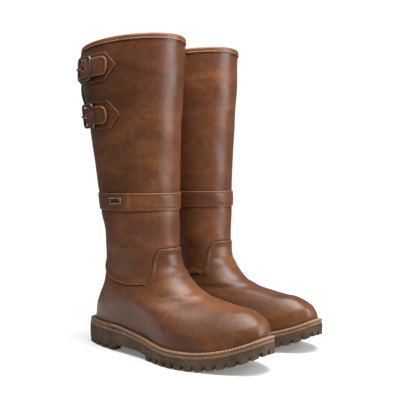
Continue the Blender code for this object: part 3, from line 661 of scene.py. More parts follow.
def columns_with_gore(count):
    """Angles round the shaft in even steps, with one exactly at each side of the gore."""
    low, high = GORE_ANGLES
    step = 360.0 / count
    inside = max(3, int(round((high - low) / step)))
    before = int(round(low / step))
    after = count - inside - before
    spans = ((0.0, low, before), (low, high, inside), (high, 360.0, after))
    return np.concatenate([np.linspace(start, stop, n + 1)[:-1] for start, stop, n in spans])


def edge_tone(distance):
    """Paler edge, part burnished wear and part painted highlight on its rounded lip, then a line of painted
    shade where the leather is drawn down, from mm to the edge.
    """
    return 0.55 * bell(distance, 0.8) - 0.35 * bell(distance - 2.6, 0.9)


def seam_lap(t, edge, top, covered):
    """Relief and tone near a sheet's seam edge: painted highlight and shade along the lapping edge, painted
    shadow on the sheet that runs under it.

    top is 1 where the sheet laps over the other one and 0 where it runs under it, and covered is
    how far in millimetres a place lies beyond the seam.
    """
    travel = np.abs(t - edge)
    laps = travel / SEAM_LAP_T
    relief = SEAM_RAISE * top * smooth_step(1.25 - laps * 0.8)
    relief = relief - SEAM_SINK * (1.0 - top) * smooth_step(1.6 - laps)
    # Painted shadow cast by the lapping edge onto the sheet that runs under it.
    under = smooth_step((0.45 - top) / 0.45) * smooth_step((covered + 2.4) / 1.6)
    return relief, edge_tone(travel * MM_PER_T) * top - 0.9 * under


def add_shaft(boot):
    phi = columns_with_gore(150)
    over = vamp_on_top(phi)
    seam = seam_t(phi)
    end = seam + SEAM_LAP_T * over
    along_gore = np.linspace(0.0125, GORE_BOTTOM_T, GORE_ROWS + 1)[:, None] + 0.0 * end
    below = GORE_BOTTOM_T + (end - GORE_BOTTOM_T) * np.linspace(0.0, 1.0, 71)[1:, None]
    t = np.vstack([along_gore, below])
    low, high = GORE_ANGLES
    gore = (phi >= low - 0.01) & (phi < high - 0.01)
    relief, tone = seam_lap(t, end, 1.0 - over, (t - seam) * SEAM_MM_PER_T)
    pinch = sum(bell((t - edge) * MM_PER_T, 5.0) for edge in (BAND_TOP_T, BAND_BOTTOM_T))
    height = leather_relief(boot, t, phi + 0.0 * t) + relief - 0.35 * pinch
    # Painted shade: dark lines on the shaft along the ankle band's edges, and painted shadow under the rim's
    # binding.
    for place, depth, width in ((BAND_BOTTOM_T + 0.004, 0.30, 1.6), (BAND_TOP_T - 0.004, 0.25, 1.2),
                                (0.022, 0.8, 1.5)):
        tone = tone - depth * bell((t - place) * MM_PER_T, width)
    sheet(boot, "shaft", "brown_leather", raised(t, phi + 0.0 * t, height), LEATHER_THICK,
          tone=tone, skip=lambda i, j: i < GORE_ROWS and gore[j], replaces="shaft_leather")
    line = np.linspace(0.0, 360.0, 400)
    behind = line[vamp_on_top(line) < 0.05]
    behind = np.concatenate([behind[behind > 180.0] - 360.0, behind[behind < 180.0]])
    upper_stitches(boot, "shaft_seam_stitches", seam_t(behind) - SEAM_THREAD_INSET / SEAM_MM_PER_T,
                   behind, SEAM_THREAD_RISE)


def add_gusset(boot):
    """Ribbed elastic that bellies out between the buckles and is sewn in along both sides."""
    low, high = GORE_ANGLES
    columns = 61
    foot = GORE_BOTTOM_T + 0.006
    t, phi = ring_grid(np.linspace(0.0128, foot, 60), np.linspace(low - 1.5, high + 1.5, columns))
    ribs = 0.28 * np.abs(np.sin(np.linspace(0.0, GORE_RIBS * math.pi, columns)))
    belly = GORE_BELLY * np.sin(math.pi * np.linspace(0.0, 1.0, columns)) ** 0.7
    pulled = 1.0 - 0.75 * sum(bell((t - row[0]) * GORE_MM_PER_T, 15.0) for row in BUCKLES.values())
    free = smooth_step((foot - t) / 0.04) * (0.45 + 0.55 * smooth_step((t - 0.012) / 0.03))
    depth = belly * np.clip(pulled, 0.15, 1.0) * free - GORE_SUNK
    sheet(boot, "gusset", "elastic", raised(t, phi, ribs + depth), 1.2, closed=False,
          replaces="gusset", edge=0.0)
    low, high, foot = low - 1.9, high + 1.9, GORE_BOTTOM_T + 0.008
    line = np.linspace(0.016, foot, 90)
    for side, angle in (("rear", low), ("front", high)):
        height = leather_relief(boot, line, angle + 0.0 * line) + 0.1
        upper_stitches(boot, f"gusset_{side}_stitches", line, angle, height)
    upper_stitches(boot, "gusset_foot_stitches", foot, np.linspace(low, high, 30), 0.15)


def add_foot(boot):
    phi = full_turn(170)
    over = vamp_on_top(phi)
    seam = seam_t(phi)
    start = seam - SEAM_LAP_T * (1.0 - over)
    t = start + (1.0 - start) * np.linspace(0.0, 1.0, 96)[:, None] ** 0.92
    relief, tone = seam_lap(t, start, over, (seam - t) * SEAM_MM_PER_T)
    grid_phi = phi + 0.0 * t
    points = raised(t, grid_phi, leather_relief(boot, t, grid_phi) + relief)
    points[..., 2] -= smooth_step((t - 0.975) / 0.025) * (FEATHER_GAP + 0.3)
    # Painted shadow along the feather edge, where the upper meets the welt.
    tone = tone - 0.55 * bell((1.0 - t) * MM_PER_T, 3.0)
    sheet(boot, "foot", "foot_leather", points, LEATHER_THICK, tone=tone, replaces="foot_leather")
    line = np.linspace(180.0 - 64.0, 180.0 + 64.0, 220)
    upper_stitches(boot, "vamp_stitches", seam_t(line) + SEAM_THREAD_INSET / SEAM_MM_PER_T, line,
                   SEAM_THREAD_RISE)


def add_lining(boot):
    t = np.concatenate([np.linspace(0.0105, 0.70, 50), np.linspace(0.71, 0.985, 40)])
    t, phi = ring_grid(t, full_turn(96))
    depth = 3.6 + 2.8 * smooth_step((t - 0.02) / 0.05)
    soft = 0.25 * np.sin(np.radians(phi) * 4.0 + t * 40.0) * smooth_step(t / 0.05)
    sheet(boot, "lining", "lining_leather", raised(t, phi, soft - depth), 1.0,
          replaces="lining", edge=0.0)


def rim_sweep(boot, name, material, profile, replaces=None, tone=None):
    """Closed profile of (outward, down) millimetres carried round the rim."""
    phi = full_turn(200)
    centre = upper_point(RIM_TOP_T, phi)
    normal = upper_normal(RIM_TOP_T, phi)
    down = unit(upper_point(RIM_TOP_T + 0.01, phi) - centre)
    profile = np.asarray(profile)
    points = (centre[:, None, :] + normal[:, None, :] * profile[None, :, :1]
              + down[:, None, :] * profile[None, :, 1:])
    rows, count = points.shape[:2]
    obj = make_object(boot, name, boot.place(points).reshape(-1, 3),
                      ring_faces(rows, count, looped=True), material, replaces)
    if tone is not None:
        paint(obj, "tone", np.tile(tone, rows))


def add_binding(boot):
    """Leather rolled over the rim, with a paler bead along its lower edge on the outside."""
    arch = [(-1.9 + 2.5 * math.cos(a), 2.5 - 2.6 * math.sin(a)) for a in np.linspace(0.0, math.pi, 12)]
    inside = [(-4.5, 5.0), (-4.5, 8.4), (-4.0, 8.7), (-3.6, 8.0), (-3.4, 4.6), (-2.2, 3.2)]
    profile = [(0.75, 5.7), (0.7, 3.6)] + arch + inside + [(-1.4, 4.4), (-0.2, 5.9)]
    # Painted highlight over the outside of the roll and its outer strip; the inside stays plain.
    tone = [0.05, 0.12] + [0.2] * 12 + [0.0] * 8
    rim_sweep(boot, "binding", "brown_leather", profile, "top_binding", tone)
    bead = [(0.35 + 0.8 * math.cos(a), 6.1 + 0.8 * math.sin(a)) for a in circle(10)]
    rim_sweep(boot, "binding_bead", "tan_leather", bead)


def band_relief(boot, t, phi):
    """Height of the ankle band's flat face, whose end laps over its start."""
    lap = BAND_LAP * smooth_step((LAP_ANGLE - phi) / 1.2) * smooth_step((phi - 40.0) / 60.0)
    return leather_relief(boot, t, phi) + BAND_RISE + lap


def add_band(boot):
    t, phi = ring_grid(np.linspace(BAND_TOP_T, BAND_BOTTOM_T, 22), full_turn(170))
    middle = (BAND_TOP_T + BAND_BOTTOM_T) / 2.0
    crown = 0.35 * (1.0 - ((t - middle) / (BAND_BOTTOM_T - middle)) ** 2)
    to_edge = np.minimum(t - BAND_TOP_T, BAND_BOTTOM_T - t) * BAND_MM_PER_T
    pressed = 0.3 * bell(to_edge - BAND_THREAD_INSET, 0.9)
    # edge_tone gives paler edges, part wear and part painted highlight, and painted shade lines by the
    # stitches; the added term is a paler line at the lapped end, part wear and part painted highlight.
    tone = edge_tone(to_edge) + 0.3 * bell((phi - LAP_ANGLE) * 0.85, 0.8)
    sheet(boot, "band", "brown_leather", raised(t, phi, band_relief(boot, t, phi) + crown - pressed),
          1.2, tone=tone, replaces="ankle_band")
    line = np.linspace(0.0, 360.0, 600)
    inset = BAND_THREAD_INSET / BAND_MM_PER_T
    for name, at in (("upper", BAND_TOP_T + inset), ("lower", BAND_BOTTOM_T - inset)):
        upper_stitches(boot, f"band_{name}_stitches", at, line, band_relief(boot, at + 0.0 * line, line))
    column = np.linspace(BAND_TOP_T + 0.010, BAND_BOTTOM_T - 0.010, 12)
    upper_stitches(boot, "band_lap_stitches", column, LAP_ANGLE - 3.0, 2.55, "lap")


# ---------------------------------------------------------------- small hardware

def surface_frame(boot, t, phi, rise):
    """World matrix on the upper: X towards the toe, Y up along it, Z outward, in millimetres."""
    origin = boot.place(raised(t, phi, rise))
    normal = Vector(upper_normal(t, phi) * np.array((-boot.sign, -1.0, 1.0))).normalized()
    up = Vector((0.0, 0.0, 1.0))
    up = (up - normal * up.dot(normal)).normalized()
    axes = (up.cross(normal) * boot.sign, up, normal)
    rows = [[axis[k] * MM for axis in axes] + [origin[k]] for k in range(3)]
    return Matrix(rows + [[0.0, 0.0, 0.0, 1.0]])


def plane_sweep(path, section, closed=True):
    """Vertices and faces of a section of (side, out) carried along a path of (x, y, z).

    side lies in the XY plane of a frame, and out along its Z.
    """
    path = np.asarray(path, float)
    if closed:
        ahead, behind = np.roll(path, -1, 0), np.roll(path, 1, 0)
    else:
        ahead, behind = np.vstack([path[1:], path[-1:]]), np.vstack([path[:1], path[:-1]])
    out = np.array((0.0, 0.0, 1.0))
    side = unit(np.cross(out, unit(ahead - behind)))
    vertices = [p + across * s + out * o for p, across in zip(path, side) for s, o in section]
    return vertices, ring_faces(len(path), len(section), looped=closed)


def frame_piece(boot, name, matrix, parts, material, replaces=None, body=None):
    """One piece from (vertices, faces) parts in the millimetres of a frame."""
    vertices, faces = joined(parts)
    vertices = [tuple(matrix @ Vector(p)) for p in vertices]
    make_object(boot, name, vertices, faces, material, replaces, body)


def rounded_rectangle(width, height, corner, z):
    points = []
    for quarter, (sx, sy) in enumerate(((1, 1), (-1, 1), (-1, -1), (1, -1))):
        for angle in math.pi / 2.0 * (quarter + np.linspace(0.0, 1.0, 7)):
            points.append((sx * (width / 2 - corner) + corner * math.cos(angle),
                           sy * (height / 2 - corner) + corner * math.sin(angle), z))
    return points


def oval_section(width, height):
    """Section of a bar with a flattened round outline."""
    section = []
    for c, s in ((math.cos(angle), math.sin(angle)) for angle in circle(14)):
        section.append((width / 2 * math.copysign(abs(c) ** OVAL_POWER, c),
                        height / 2 * math.copysign(abs(s) ** OVAL_POWER, s)))
    return section


def bar(start, end, width, height):
    """Straight bar of an oval section between two points of a frame."""
    return plane_sweep([start, end], oval_section(width, height), closed=False)


def tube(points, radii, sides=12):
    """Vertices and faces of a round bar through points, with a radius at each."""
    points = np.asarray(points, float)
    along = unit(np.gradient(points, axis=0))
    helper = np.array((0.0, 1.0, 0.0)) if abs(along[0][1]) < 0.9 else np.array((1.0, 0.0, 0.0))
    vertices = []
    for p, d, r in zip(points, along, radii):
        side = unit(np.cross(d, helper))
        up = np.cross(side, d)
        for angle in circle(sides):
            vertices.append(p + (side * math.cos(angle) + up * math.sin(angle)) * r)
    return vertices, ring_faces(len(points), sides)


def joined(parts):
    vertices, faces = [], []
    for part_vertices, part_faces in parts:
        base = len(vertices)
        vertices.extend(part_vertices)
        faces.extend(tuple(base + i for i in face) for face in part_faces)
    return vertices, faces


def add_plate(boot):
    """Small blank plate with two raised rails, pinned at its ends."""
    matrix = surface_frame(boot, PLATE_T, PLATE_ANGLE, 3.9)
    border = plane_sweep(rounded_rectangle(17.0, 7.0, 1.2, 0.0), oval_section(1.3, 1.2))
    cap = bar((7.9, -2.6, 0.5), (7.9, 2.6, 0.5), 1.9, 1.2)
    rails = [bar((-8.4, y, 0.55), (8.4, y, 0.55), 1.7, 1.1) for y in (-3.3, 3.3)]
    pins = [tube([(x, 0.0, -0.2), (x, 0.0, 0.5), (x, 0.0, 0.75)], (0.9, 0.9, 0.45))
            for x in (-7.2, 7.2)]
    frame_piece(boot, "plate", matrix, [border, cap] + rails + pins, "brass", "band_plate")
    floor = bar((-8.6, 0.0, -0.1), (8.6, 0.0, -0.1), 7.6, 0.7)
    frame_piece(boot, "plate_floor", matrix, [floor], "brass_floor")


# ---------------------------------------------------------------- buckles and straps

def strap_height(offset):
    """Underside of the strap above the leather, against millimetres ahead of the centre bar."""
    base = 0.9 + 2.7 * smooth_step((offset + 6.0) / 12.0)
    rise = 1.0 - smooth_step((np.abs(offset) - 2.0) / 9.0)
    return base + (6.7 - base) * rise


def patch_grid(t, phi, offsets, half_width, across):
    """Ring parameters of a patch: offsets ahead of (t, phi) in mm, by shares of its half width."""
    grid_t = t + across[:, None] * half_width / drop_per_t(t, phi)
    return grid_t, phi + offsets / arc_per_degree(t, phi) + 0.0 * grid_t


def mirrored(*shares):
    """Shares from -1 to 1 across a strap, from those of one half."""
    return np.array([-share for share in reversed(shares) if share] + list(shares))


def rounded_end(tip, half):
    """Offsets and half widths along a strap's end, whose corners have the radius TIP_ROUND."""
    turn = np.linspace(0.0, math.pi / 2.0, 9)
    return tip - TIP_ROUND * (1.0 - np.sin(turn)), half - TIP_ROUND * (1.0 - np.cos(turn))


def add_strap(boot, name, t, phi, tip_phi):
    """Strap through the buckle, sewn down at its rear end, with a slot where the bars pass."""
    per_degree = arc_per_degree(t, phi)
    tip = (tip_phi - phi) * per_degree
    root = -STRAP_ROOT * per_degree
    end, end_half = rounded_end(tip, STRAP_WIDTH / 2.0)
    offsets = np.concatenate([np.arange(root, -9.0, 1.4), np.arange(-8.6, 1.7, 1.02),
                              np.arange(2.6, end[0] - 0.7, 1.4), end])
    half = np.full_like(offsets, STRAP_WIDTH / 2.0)
    half[-len(end):] = end_half
    across = mirrored(0.0, 0.2, 0.42, 0.64, 0.82, 0.93, 1.0)
    grid_t, grid_phi = patch_grid(t, phi, offsets, half, across)
    puff = 0.25 * (1.0 - across[:, None] ** 2) * smooth_step((tip - offsets) / 9.0)
    slot = (offsets > STRAP_SLOT[0]) & (offsets < STRAP_SLOT[1])
    reach = np.minimum((1.0 - np.abs(across))[:, None] * half, tip - offsets)
    # Paler edges, part wear and part painted highlight, a painted shade line 3 mm inside them, and the whole
    # strap a little paler.
    tone = 0.7 * bell(reach, 0.9) - 0.25 * bell(reach - 3.0, 0.9) + 0.10
    sheet(boot, f"{name}_strap_leather", "brown_leather",
          raised(grid_t, grid_phi, strap_height(offsets) + puff), STRAP_BULK, closed=False, tone=tone,
          skip=lambda i, j: slot[j] and i in (5, 6), replaces=f"{name}_strap", offset=1.0, edge=0.0)
    near, far = root + 1.8, root + 9.0
    box = np.array([(near, -1), (far, -1), (far, 1), (near, 1), (near, -1)])
    corners = np.stack([t + box[:, 1] * (STRAP_WIDTH / 2.0 - STRAP_THREAD_INSET) / drop_per_t(t, phi),
                        phi + box[:, 0] / per_degree])
    path = np.hstack([np.linspace(corners[:, i], corners[:, i + 1], 12, axis=1) for i in range(4)])
    upper_stitches(boot, f"{name}_strap_stitches", *path, 3.05, "strap")


def add_chape(boot, name, t, phi):
    """Pointed patch sewn to the shaft, with two loops that hold the centre bar."""
    per_degree, per_t = arc_per_degree(t, phi), drop_per_t(t, phi)
    point = (CHAPE_POINT - phi) * per_degree
    shoulder = point - CHAPE_SHOULDER * per_degree

    def half_width(offsets):
        taper = np.clip((offsets - shoulder) / (point - shoulder), 0.0, 1.0)
        return CHAPE_WIDTH / 2.0 * (1.0 - taper * CHAPE_TAPER)

    offsets = np.concatenate([np.linspace(3.4, shoulder, 24), np.linspace(shoulder, point, 15)[1:]])
    across = mirrored(0.15, 0.45, 0.7, 0.86, 0.94, 1.0)
    grid_t, grid_phi = patch_grid(t, phi, offsets, half_width(offsets), across)
    reach = np.minimum((1.0 - np.abs(across))[:, None] * half_width(offsets), point - offsets)
    height = leather_relief(boot, grid_t, grid_phi) + 0.35 - 0.28 * bell(reach - 3.0, 0.9)
    # edge_tone gives paler edges, part wear and part painted highlight, and a painted shade line inside
    # them.
    sheet(boot, f"{name}_chape_leather", "brown_leather", raised(grid_t, grid_phi, height), 1.6,
          closed=False, tone=edge_tone(reach), replaces=f"{name}_chape", offset=1.0)
    line = np.concatenate([np.linspace(5.0, shoulder - 1.0, 20), np.linspace(shoulder, point - 4.5, 14)])
    sides = np.maximum(half_width(line) - CHAPE_THREAD_INSET, 0.0)
    path = np.concatenate([line, line[::-1]])
    sides = np.concatenate([-sides, sides[::-1]])
    upper_stitches(boot, f"{name}_chape_stitches", t + sides / per_t, phi + path / per_degree, 1.95,
                   "strap")
    fold = [(6.5, -3.1), (3.0, -2.9), (0.6, -2.35)]
    fold += [(2.1 * math.cos(a), 2.1 * math.sin(a)) for a in np.linspace(-1.75, -4.5, 9)]
    fold += [(2.2, 1.2), (4.2, -0.2), (6.5, -1.5)]
    loops = [ribbon(fold, low, high, 0.85) for low, high in ((-11.8, -2.6), (2.6, 11.8))]
    frame_piece(boot, f"{name}_chape_loops", surface_frame(boot, t, phi, BAR_RISE), loops, "brown_leather")


def ribbon(path, low, high, thickness):
    """Band of a thickness along a path of (x, z), from y = low to y = high."""
    path = np.asarray(path, float)
    along = unit(np.gradient(path, axis=0))
    side = np.stack([-along[:, 1], along[:, 0]], axis=1) * thickness / 2.0
    vertices = []
    for (x, z), (dx, dz) in zip(path, side):
        for y, sign in ((low, -1), (low, 1), (high, 1), (high, -1)):
            vertices.append((x + dx * sign, y, z + dz * sign))
    return vertices, ring_faces(len(path), 4)


def add_buckle(boot, name, t, phi):
    """Buckle frame with its centre bar, and the prong that hooks round that bar."""
    matrix = surface_frame(boot, t, phi, BAR_RISE)
    length, height = FRAME_SIZE
    lift = FRAME_RISE - BAR_RISE
    reach, half = length / 2.0 - 1.9, height / 2.0 - 1.9
    outer = plane_sweep(rounded_rectangle(length - 3.8, height - 3.8, 4.2, lift), oval_section(3.8, 2.9))
    side = [(0.0, half, lift * 0.8), (0.0, half - 1.2, lift * 0.55), (0.0, half - 3.0, 0.0)]
    centre = tube([(x, -y, z) for x, y, z in side] + side[::-1], (1.3, 1.3, 1.2, 1.2, 1.3, 1.3))
    lips = [bar((x, -half + 4.0, lift + 1.25), (x, half - 4.0, lift + 1.25), 1.7, 0.8)
            for x in (-reach, reach)]
    frame_piece(boot, f"{name}_buckle_metal", matrix, [outer, centre] + lips, "bronze",
                f"{name}_buckle_frame", f"{boot.name}_{name}_buckle")
    hook = [(2.2 * math.cos(a), 2.2 * math.sin(a)) for a in np.radians(np.linspace(-20.0, -190.0, 12))]
    rest = lift + 2.9
    stem = [(-3.4, 2.2), (-5.4, 3.9), (-9.0, rest + 0.1), (-reach + 3.0, rest), (-reach, rest),
            (-reach - 0.8, rest - 0.1), (-reach - 1.3, rest - 0.2)]
    radii = [0.85] * 12 + [0.95, 1.0, 1.0, 0.95, 0.9, 0.7, 0.35]
    vertices, faces = tube([(x, 0.0, z) for x, z in hook + stem], radii)
    flat = [(x, y * 1.35, z) for x, y, z in vertices]
    frame_piece(boot, f"{name}_prong_metal", matrix, [(flat, faces)], "bronze",
                f"{name}_prong", f"{boot.name}_{name}_prong")


# ---------------------------------------------------------------- sole

def outline(theta, side, inset):
    """Plan outline of the sole at angles theta (0 heel, pi toe), on the outer side or the inner."""
    u = (1.0 - np.cos(theta)) / 2.0
    outer, inner = half_widths(u, inset)
    return np.where(side > 0, outer, -inner), inset + u * (SOLE_LENGTH - 2.0 * inset)


def theta_at(f, inset=0.0):
    return math.acos(1.0 - 2.0 * (f - inset) / (SOLE_LENGTH - 2.0 * inset))


def plan_stack(boot, name, rings, stop=math.pi, count=72, material="rubber", replaces=None):
    """Closed body through plan outlines, each (inset, height function), from the bottom up.

    The outlines run from the back of the heel to the angle stop, down one side and back the other.
    """
    theta = np.linspace(0.0, stop, count)
    back = theta[-2:0:-1] if stop == math.pi else theta[:0:-1]
    side = np.concatenate([np.ones(count), -np.ones(len(back))])
    loops = []
    for inset, height in rings:
        a, f = outline(np.concatenate([theta, back]), side, inset)
        loops.append(np.stack([a, f, height(f)], axis=-1))
    n = len(side)
    faces = ring_faces(len(loops), n, capped=False)
    for base in (0, (len(loops) - 1) * n):
        for j in range(count - 1):
            quad = dict.fromkeys((j, j + 1, n - j - 1, (n - j) % n))
            faces.append(tuple(base + q for q in quad))
    return make_object(boot, name, boot.place(np.concatenate(loops)), faces, material, replaces)


def outline_path(f_from, towards, inset, spacing):
    """Evenly spaced outline points and their travel, from f_from on the outer side to the inner side.

    towards is the angle of the toe (pi) or of the heel (0) that the path goes round.
    """
    theta = np.linspace(theta_at(f_from, inset), towards, 1500)
    side = np.concatenate([np.ones(1500), -np.ones(1499)])
    a, f = outline(np.concatenate([theta, theta[-2::-1]]), side, inset)
    travel = np.concatenate([[0.0], np.cumsum(np.hypot(np.diff(a), np.diff(f)))])
    marks = np.linspace(0.0, travel[-1], max(2, int(travel[-1] / spacing)))
    return np.stack([np.interp(marks, travel, a), np.interp(marks, travel, f)], axis=-1), marks


def inward(path):
    """Unit vectors in plan pointing into the sole, along an outline path."""
    along = unit(np.gradient(path, axis=0))
    side = np.stack([-along[:, 1], along[:, 0]], axis=1)
    centre = np.array((0.0, SOLE_LENGTH / 2.0))
    return side * np.sign(np.median(((centre - path) * side).sum(1)))


def edge_strip(boot, name, path, profile, base, material="rubber", replaces=None, ripple=None, tone=None):
    """Strip along an outline path from a closed profile of (inward mm, height mm above base)."""
    side = inward(path)
    rows, n = len(path), len(profile)
    points = np.zeros((rows, n, 3))
    for k, (inset, height) in enumerate(profile):
        points[:, k, :2] = path + side * inset
        points[:, k, 2] = base(path[:, 1]) + height + (ripple(inset) if ripple else 0.0)
    obj = make_object(boot, name, boot.place(points).reshape(-1, 3), ring_faces(rows, n), material,
                      replaces)
    if tone is not None:
        paint(obj, "tone", np.tile(tone, rows))


def strip_profile(width, height, lip):
    """Rounded strip section: (inward, height) round its edge, starting at the outer bottom."""
    shape = [(lip * 0.4, 0.0), (0.0, 0.25), (0.0, 0.6), (lip * 0.35, 0.88), (lip, 1.0), (2.2, 1.02),
             (3.4, 1.0), (4.6, 1.02), (6.0, 0.96), (width, 0.9), (width, 0.0)]
    return [(inset, height * share) for inset, share in shape]


def add_welt(boot):
    """Stitched storm welt round the forepart, plain rand round the heel."""
    path, travel = outline_path(WELT_JOINT + 0.4, math.pi, WELT_INSET, 0.55)

    def whipping(inset):
        if not 0.5 < inset < 5.5:
            return 0.0
        return 0.42 * np.abs(np.sin(math.pi * (travel + 0.9 * inset) / 3.6)) - 0.15

    # Tone round the welt's section: painted shade along its lower edge and inner side, painted highlight on
    # its rounded top lip.
    edge_strip(boot, "welt_strip", path, strip_profile(11.0, WELT_THICK, 0.8),
               lambda f: welt_top(f) - WELT_THICK - 0.1, "welt_leather", "welt", whipping,
               [-0.75, -0.15, 0.05, 0.25, 0.3, 0.1, 0.0, -0.1, -0.4, -0.7, -0.7])
    side = inward(path)
    top = welt_top(path[:, 1])
    stitch_row(boot, "welt_stitches", np.column_stack([path + side * 0.75, top - 0.45]),
               np.column_stack([-side, np.ones(len(side))]), "welt", slant=0.7 * boot.sign)
    stitch_row(boot, "welt_inner_stitches", np.column_stack([path + side * 3.6, top + 0.2]),
               np.tile((0.0, 0.0, 1.0), (len(side), 1)), "welt_inner")
    heel, _ = outline_path(WELT_JOINT - 0.4, 0.0, WELT_INSET, 2.0)
    # Same painted shade and highlight round the heel rand's section.
    edge_strip(boot, "heel_rand_strip", heel, strip_profile(11.0, RAND_THICK, 1.4),
               lambda f: welt_top(f) - RAND_THICK - 0.1, "welt_leather", "heel_rand",
               tone=[-0.7, -0.1, 0.0, 0.25, 0.3, 0.0, 0.0, -0.1, -0.4, -0.6, -0.6])


def add_midsole(boot):
    low = lambda f: rubber_top(f) - 0.05
    high = lambda f: midsole_top(f) + 0.35
    rings = [(14.0, low), (1.3, low), (0.55, lambda f: low(f) + 0.5), (0.5, lambda f: low(f) + 1.5),
             (1.1, high), (14.0, high)]
    plan_stack(boot, "midsole_layer", rings, material="midsole", replaces="midsole")


def lug(path, sides, low, high, inner):
    """Block under the sole's edge along a short outline path, between two height curves."""
    profile = ((0.5, low), (0.05, high), (inner, high), (inner - 0.5, low))
    vertices = [(*(p + side * inset), height(p[1])) for p, side in zip(path, sides)
                for inset, height in profile]
    return vertices, ring_faces(len(path), 4)


def edge_lugs(path, travel, pitch, groove, low, high, inner):
    """Row of blocks along the sole's edge, a groove apart."""
    parts = []
    side = inward(path)
    count = int(travel[-1] // pitch)
    start = (travel[-1] - count * pitch + groove) / 2.0
    for begin in start + pitch * np.arange(count):
        chosen = np.nonzero((travel >= begin) & (travel <= begin + pitch - groove))[0]
        if len(chosen) > 2:
            index = chosen[::max(1, len(chosen) // 6)]
            parts.append(lug(path[index], side[index], low, high, inner))
    return parts


def centre_lugs(f_from, f_to, pitch, low, high):
    """Pairs of slanted bars down the middle of the tread."""
    parts = []
    for f in np.arange(f_from, f_to, pitch):
        for sign, width in zip((1, -1), half_widths(f / SOLE_LENGTH)):
            if width - 20.0 < 2.2 + 3.0:
                continue
            x0, x1, back = 2.2 * sign, (width - 20.0) * sign, f + pitch * 0.55
            corners = ((x0, f), (x1, f + 5.0), (x1, back + 5.0), (x0, back))
            parts.append(([(x, y, height(y)) for height in (low, high) for x, y in corners],
                          ring_faces(2, 4)))
    return parts


def add_tread(boot, name, f_from, towards, inset, pitch, groove, low, high, inner, middle, walls):
    """Lugs round the edge and down the middle of a tread, and the dark walls behind the grooves.

    middle holds where the bars start, end, their pitch and how far they stay above the lugs, and
    walls how far back the wall starts, its two lower heights and its upper height above the ground.
    """
    path, travel = outline_path(f_from, towards, inset, 0.8)
    parts = edge_lugs(path, travel, pitch, groove, low, high, inner)
    start, stop, bar_pitch, shy = middle
    parts += centre_lugs(start, stop, bar_pitch, lambda f: low(f) + shy, high)
    vertices, faces = joined(parts)
    round_edges(make_object(boot, f"{name}_lugs", boot.place(vertices), faces, "rubber"), LUG_EDGE)
    begin, foot, top = walls
    fill, _ = outline_path(begin, towards, inset, 2.0)
    profile = [(3.4, foot), (3.2, top), (5.4, top), (5.2, foot)]
    edge_strip(boot, f"{name}_groove_walls", fill, profile, low)


def add_outsole(boot):
    """Rubber sole: a wall with a shallow groove and lugs along its lower edge."""
    def base(f):
        return rubber_bottom(f) + LUG_DEPTH * smooth_step((f - FOREPART_START + ARCH_BLEND) / ARCH_BLEND)

    def wall(share):
        return lambda f: base(f) + (rubber_top(f) - base(f)) * share

    rings = [(16.0, 0.0), (0.9, 0.0), (0.25, 0.10), (0.0, 0.45), (0.05, 0.72), (0.45, 0.78),
             (0.45, 0.82), (0.0, 0.88), (0.5, 1.0), (16.0, 1.0)]
    plan_stack(boot, "outsole_rubber", [(inset, wall(share)) for inset, share in rings], count=90,
               replaces="outsole")
    add_tread(boot, "outsole", FOREPART_START - 8.0, math.pi, 0.0, 13.6, 2.5, rubber_bottom,
              lambda f: base(f) + 0.6, 15.0, (146.0, 262.0, 15.0, 0.4),
              (FOREPART_START - 2.0, 1.0, LUG_DEPTH + 0.4))


def add_heel(boot):
    """Rubber block under the heel, with deeper lugs below it."""
    def level(height):
        return lambda f: 0.0 * f + height

    rings = [(1.2, HEEL_SPLIT), (0.4, HEEL_SPLIT + 0.3), (0.2, SLAB_BOTTOM - 0.8), (0.7, SLAB_BOTTOM + 0.3)]
    plan_stack(boot, "heel_rubber", [(inset, level(z)) for inset, z in rings], theta_at(HEEL_BREAST), 40,
               replaces="heel_block")
    add_tread(boot, "heel", HEEL_BREAST - 1.0, 0.0, 0.5, 17.6, 3.4, level(0.0), level(HEEL_SPLIT + 0.4),
              14.0, (14.0, 62.0, 17.0, 0.3), (HEEL_BREAST - 3.0, 0.8, HEEL_SPLIT + 0.3))


# ---------------------------------------------------------------- stage

def seen_or_lit(graph, lighting):
    """White to the camera, and a lower strength for the light it gives to the object."""
    seen = graph.new("LightPath").outputs["Is Camera Ray"]
    return graph.new("MapRange", Value=seen, To_Min=lighting, To_Max=1.05).outputs["Result"]


def add_stage():
    """Pale floor that is shaded near the boots and fades to plain white away from them."""
    bpy.ops.mesh.primitive_plane_add(size=14.0, location=(0.0, 0.0, -0.0005))
    floor = bpy.context.object
    floor.name = "studio_floor"
    material, graph, shader, where = new_material("floor_white")
    graph.set(shader, Base_Color=(0.60, 0.60, 0.60), Roughness=0.6, Specular_IOR_Level=0.1,
              Emission_Color=(1.0, 1.0, 1.0), Emission_Strength=FLOOR_GLOW)
    distance = graph.new("VectorMath", operation="LENGTH")
    graph.feed(distance.inputs[0], where)
    fade = graph.new("MapRange", interpolation_type="SMOOTHSTEP", From_Min=0.28, From_Max=0.62,
                     Value=distance.outputs["Value"])
    white = graph.new("Emission")
    graph.set(white, Strength=seen_or_lit(graph, FLOOR_GLOW))
    blend = graph.new("MixShader")
    for socket, source in zip(blend.inputs, (fade, shader, white)):
        graph.links.new(source.outputs[0], socket)
    graph.set(graph.nodes["Material Output"], Surface=blend.outputs[0])
    floor.data.materials.append(material)


def add_area_light(name, location, target, size, power):
    light = bpy.data.lights.new(name, "AREA")
    light.shape = "RECTANGLE"
    light.size, light.size_y = size
    light.energy = power
    obj = bpy.data.objects.new(name, light)
    obj.location = location
    obj.rotation_euler = (Vector(target) - Vector(location)).to_track_quat("-Z", "Y").to_euler()
    bpy.context.scene.collection.objects.link(obj)


def around(azimuth, distance, height):
    """Point at an azimuth in degrees, 0 in front of the toes (-Y), positive towards +X."""
    angle = math.radians(azimuth)
    return (distance * math.sin(angle), -distance * math.cos(angle), height)


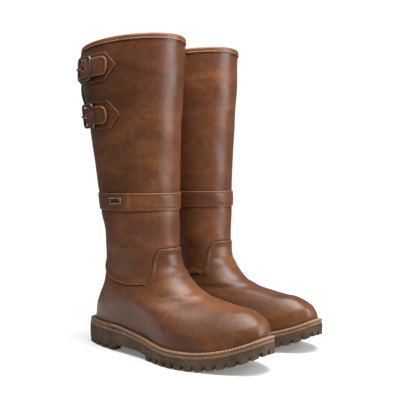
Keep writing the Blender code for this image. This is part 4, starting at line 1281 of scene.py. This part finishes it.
def add_lights():
    world = bpy.data.worlds.new("studio")
    world.use_nodes = True
    graph = Graph(world.node_tree)
    graph.set(graph.nodes["Background"], Color=(1.0, 1.0, 1.0), Strength=seen_or_lit(graph, FILL_STRENGTH))
    bpy.context.scene.world = world
    middle = (0.0, 0.0, 0.22)
    add_area_light("key_softbox", around(26.0, 2.0, 0.9), middle, (1.3, 1.5), 52.0)
    add_area_light("left_softbox", around(-120.0, 2.0, 0.8), middle, (0.9, 1.4), 1.6)
    add_area_light("top_softbox", (-0.15, -0.25, 1.5), (0.0, -0.05, 0.1), (1.3, 1.3), 66.0)
    bpy.context.scene.view_settings.view_transform = "Standard"


def add_camera():
    """Camera at the viewing angle of the picture being matched."""
    azimuth, pitch = math.radians(CAMERA_AZIMUTH), math.radians(CAMERA_PITCH)
    camera = bpy.data.cameras.new("camera")
    camera.lens = CAMERA_LENS
    camera.sensor_width = 36.0
    obj = bpy.data.objects.new("camera", camera)
    obj.location = CAMERA_PLACE
    ahead = (-math.sin(azimuth) * math.cos(pitch), math.cos(azimuth) * math.cos(pitch), math.sin(pitch))
    obj.rotation_euler = Vector(ahead).to_track_quat("-Z", "Y").to_euler()
    bpy.context.scene.collection.objects.link(obj)
    bpy.context.scene.camera = obj


# ---------------------------------------------------------------- build

def dress_hidden_nodes():
    """Give the CAD nodes that stay their own procedural material."""
    for boot in BOOTS:
        for piece, material in (("cork_filler", "cork"), ("insole_board", "board"), ("shank", "steel"),
                                ("footbed", "footbed"), ("heel_counter", "board"), ("toe_puff", "board")):
            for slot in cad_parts[f"{boot}_{piece}"].material_slots:
                slot.material = MATERIAL[material]


def build_boot(boot):
    for add in (add_shaft, add_gusset, add_foot, add_lining, add_binding, add_band, add_plate):
        add(boot)
    for name, (t, phi, tip_phi) in BUCKLES.items():
        add_chape(boot, name, t, phi)
        add_strap(boot, name, t, phi, tip_phi)
        add_buckle(boot, name, t, phi)
    for add in (add_outsole, add_heel, add_midsole, add_welt):
        add(boot)


PIECES = []
MATERIAL = build_materials()
dress_hidden_nodes()
for boot_name in BOOTS:
    build_boot(Boot(boot_name))
for piece, rides_on, stands_for in PIECES:
    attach(piece, rides_on)
    if stands_for:
        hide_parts(stands_for)
add_stage()
add_lights()
add_camera()
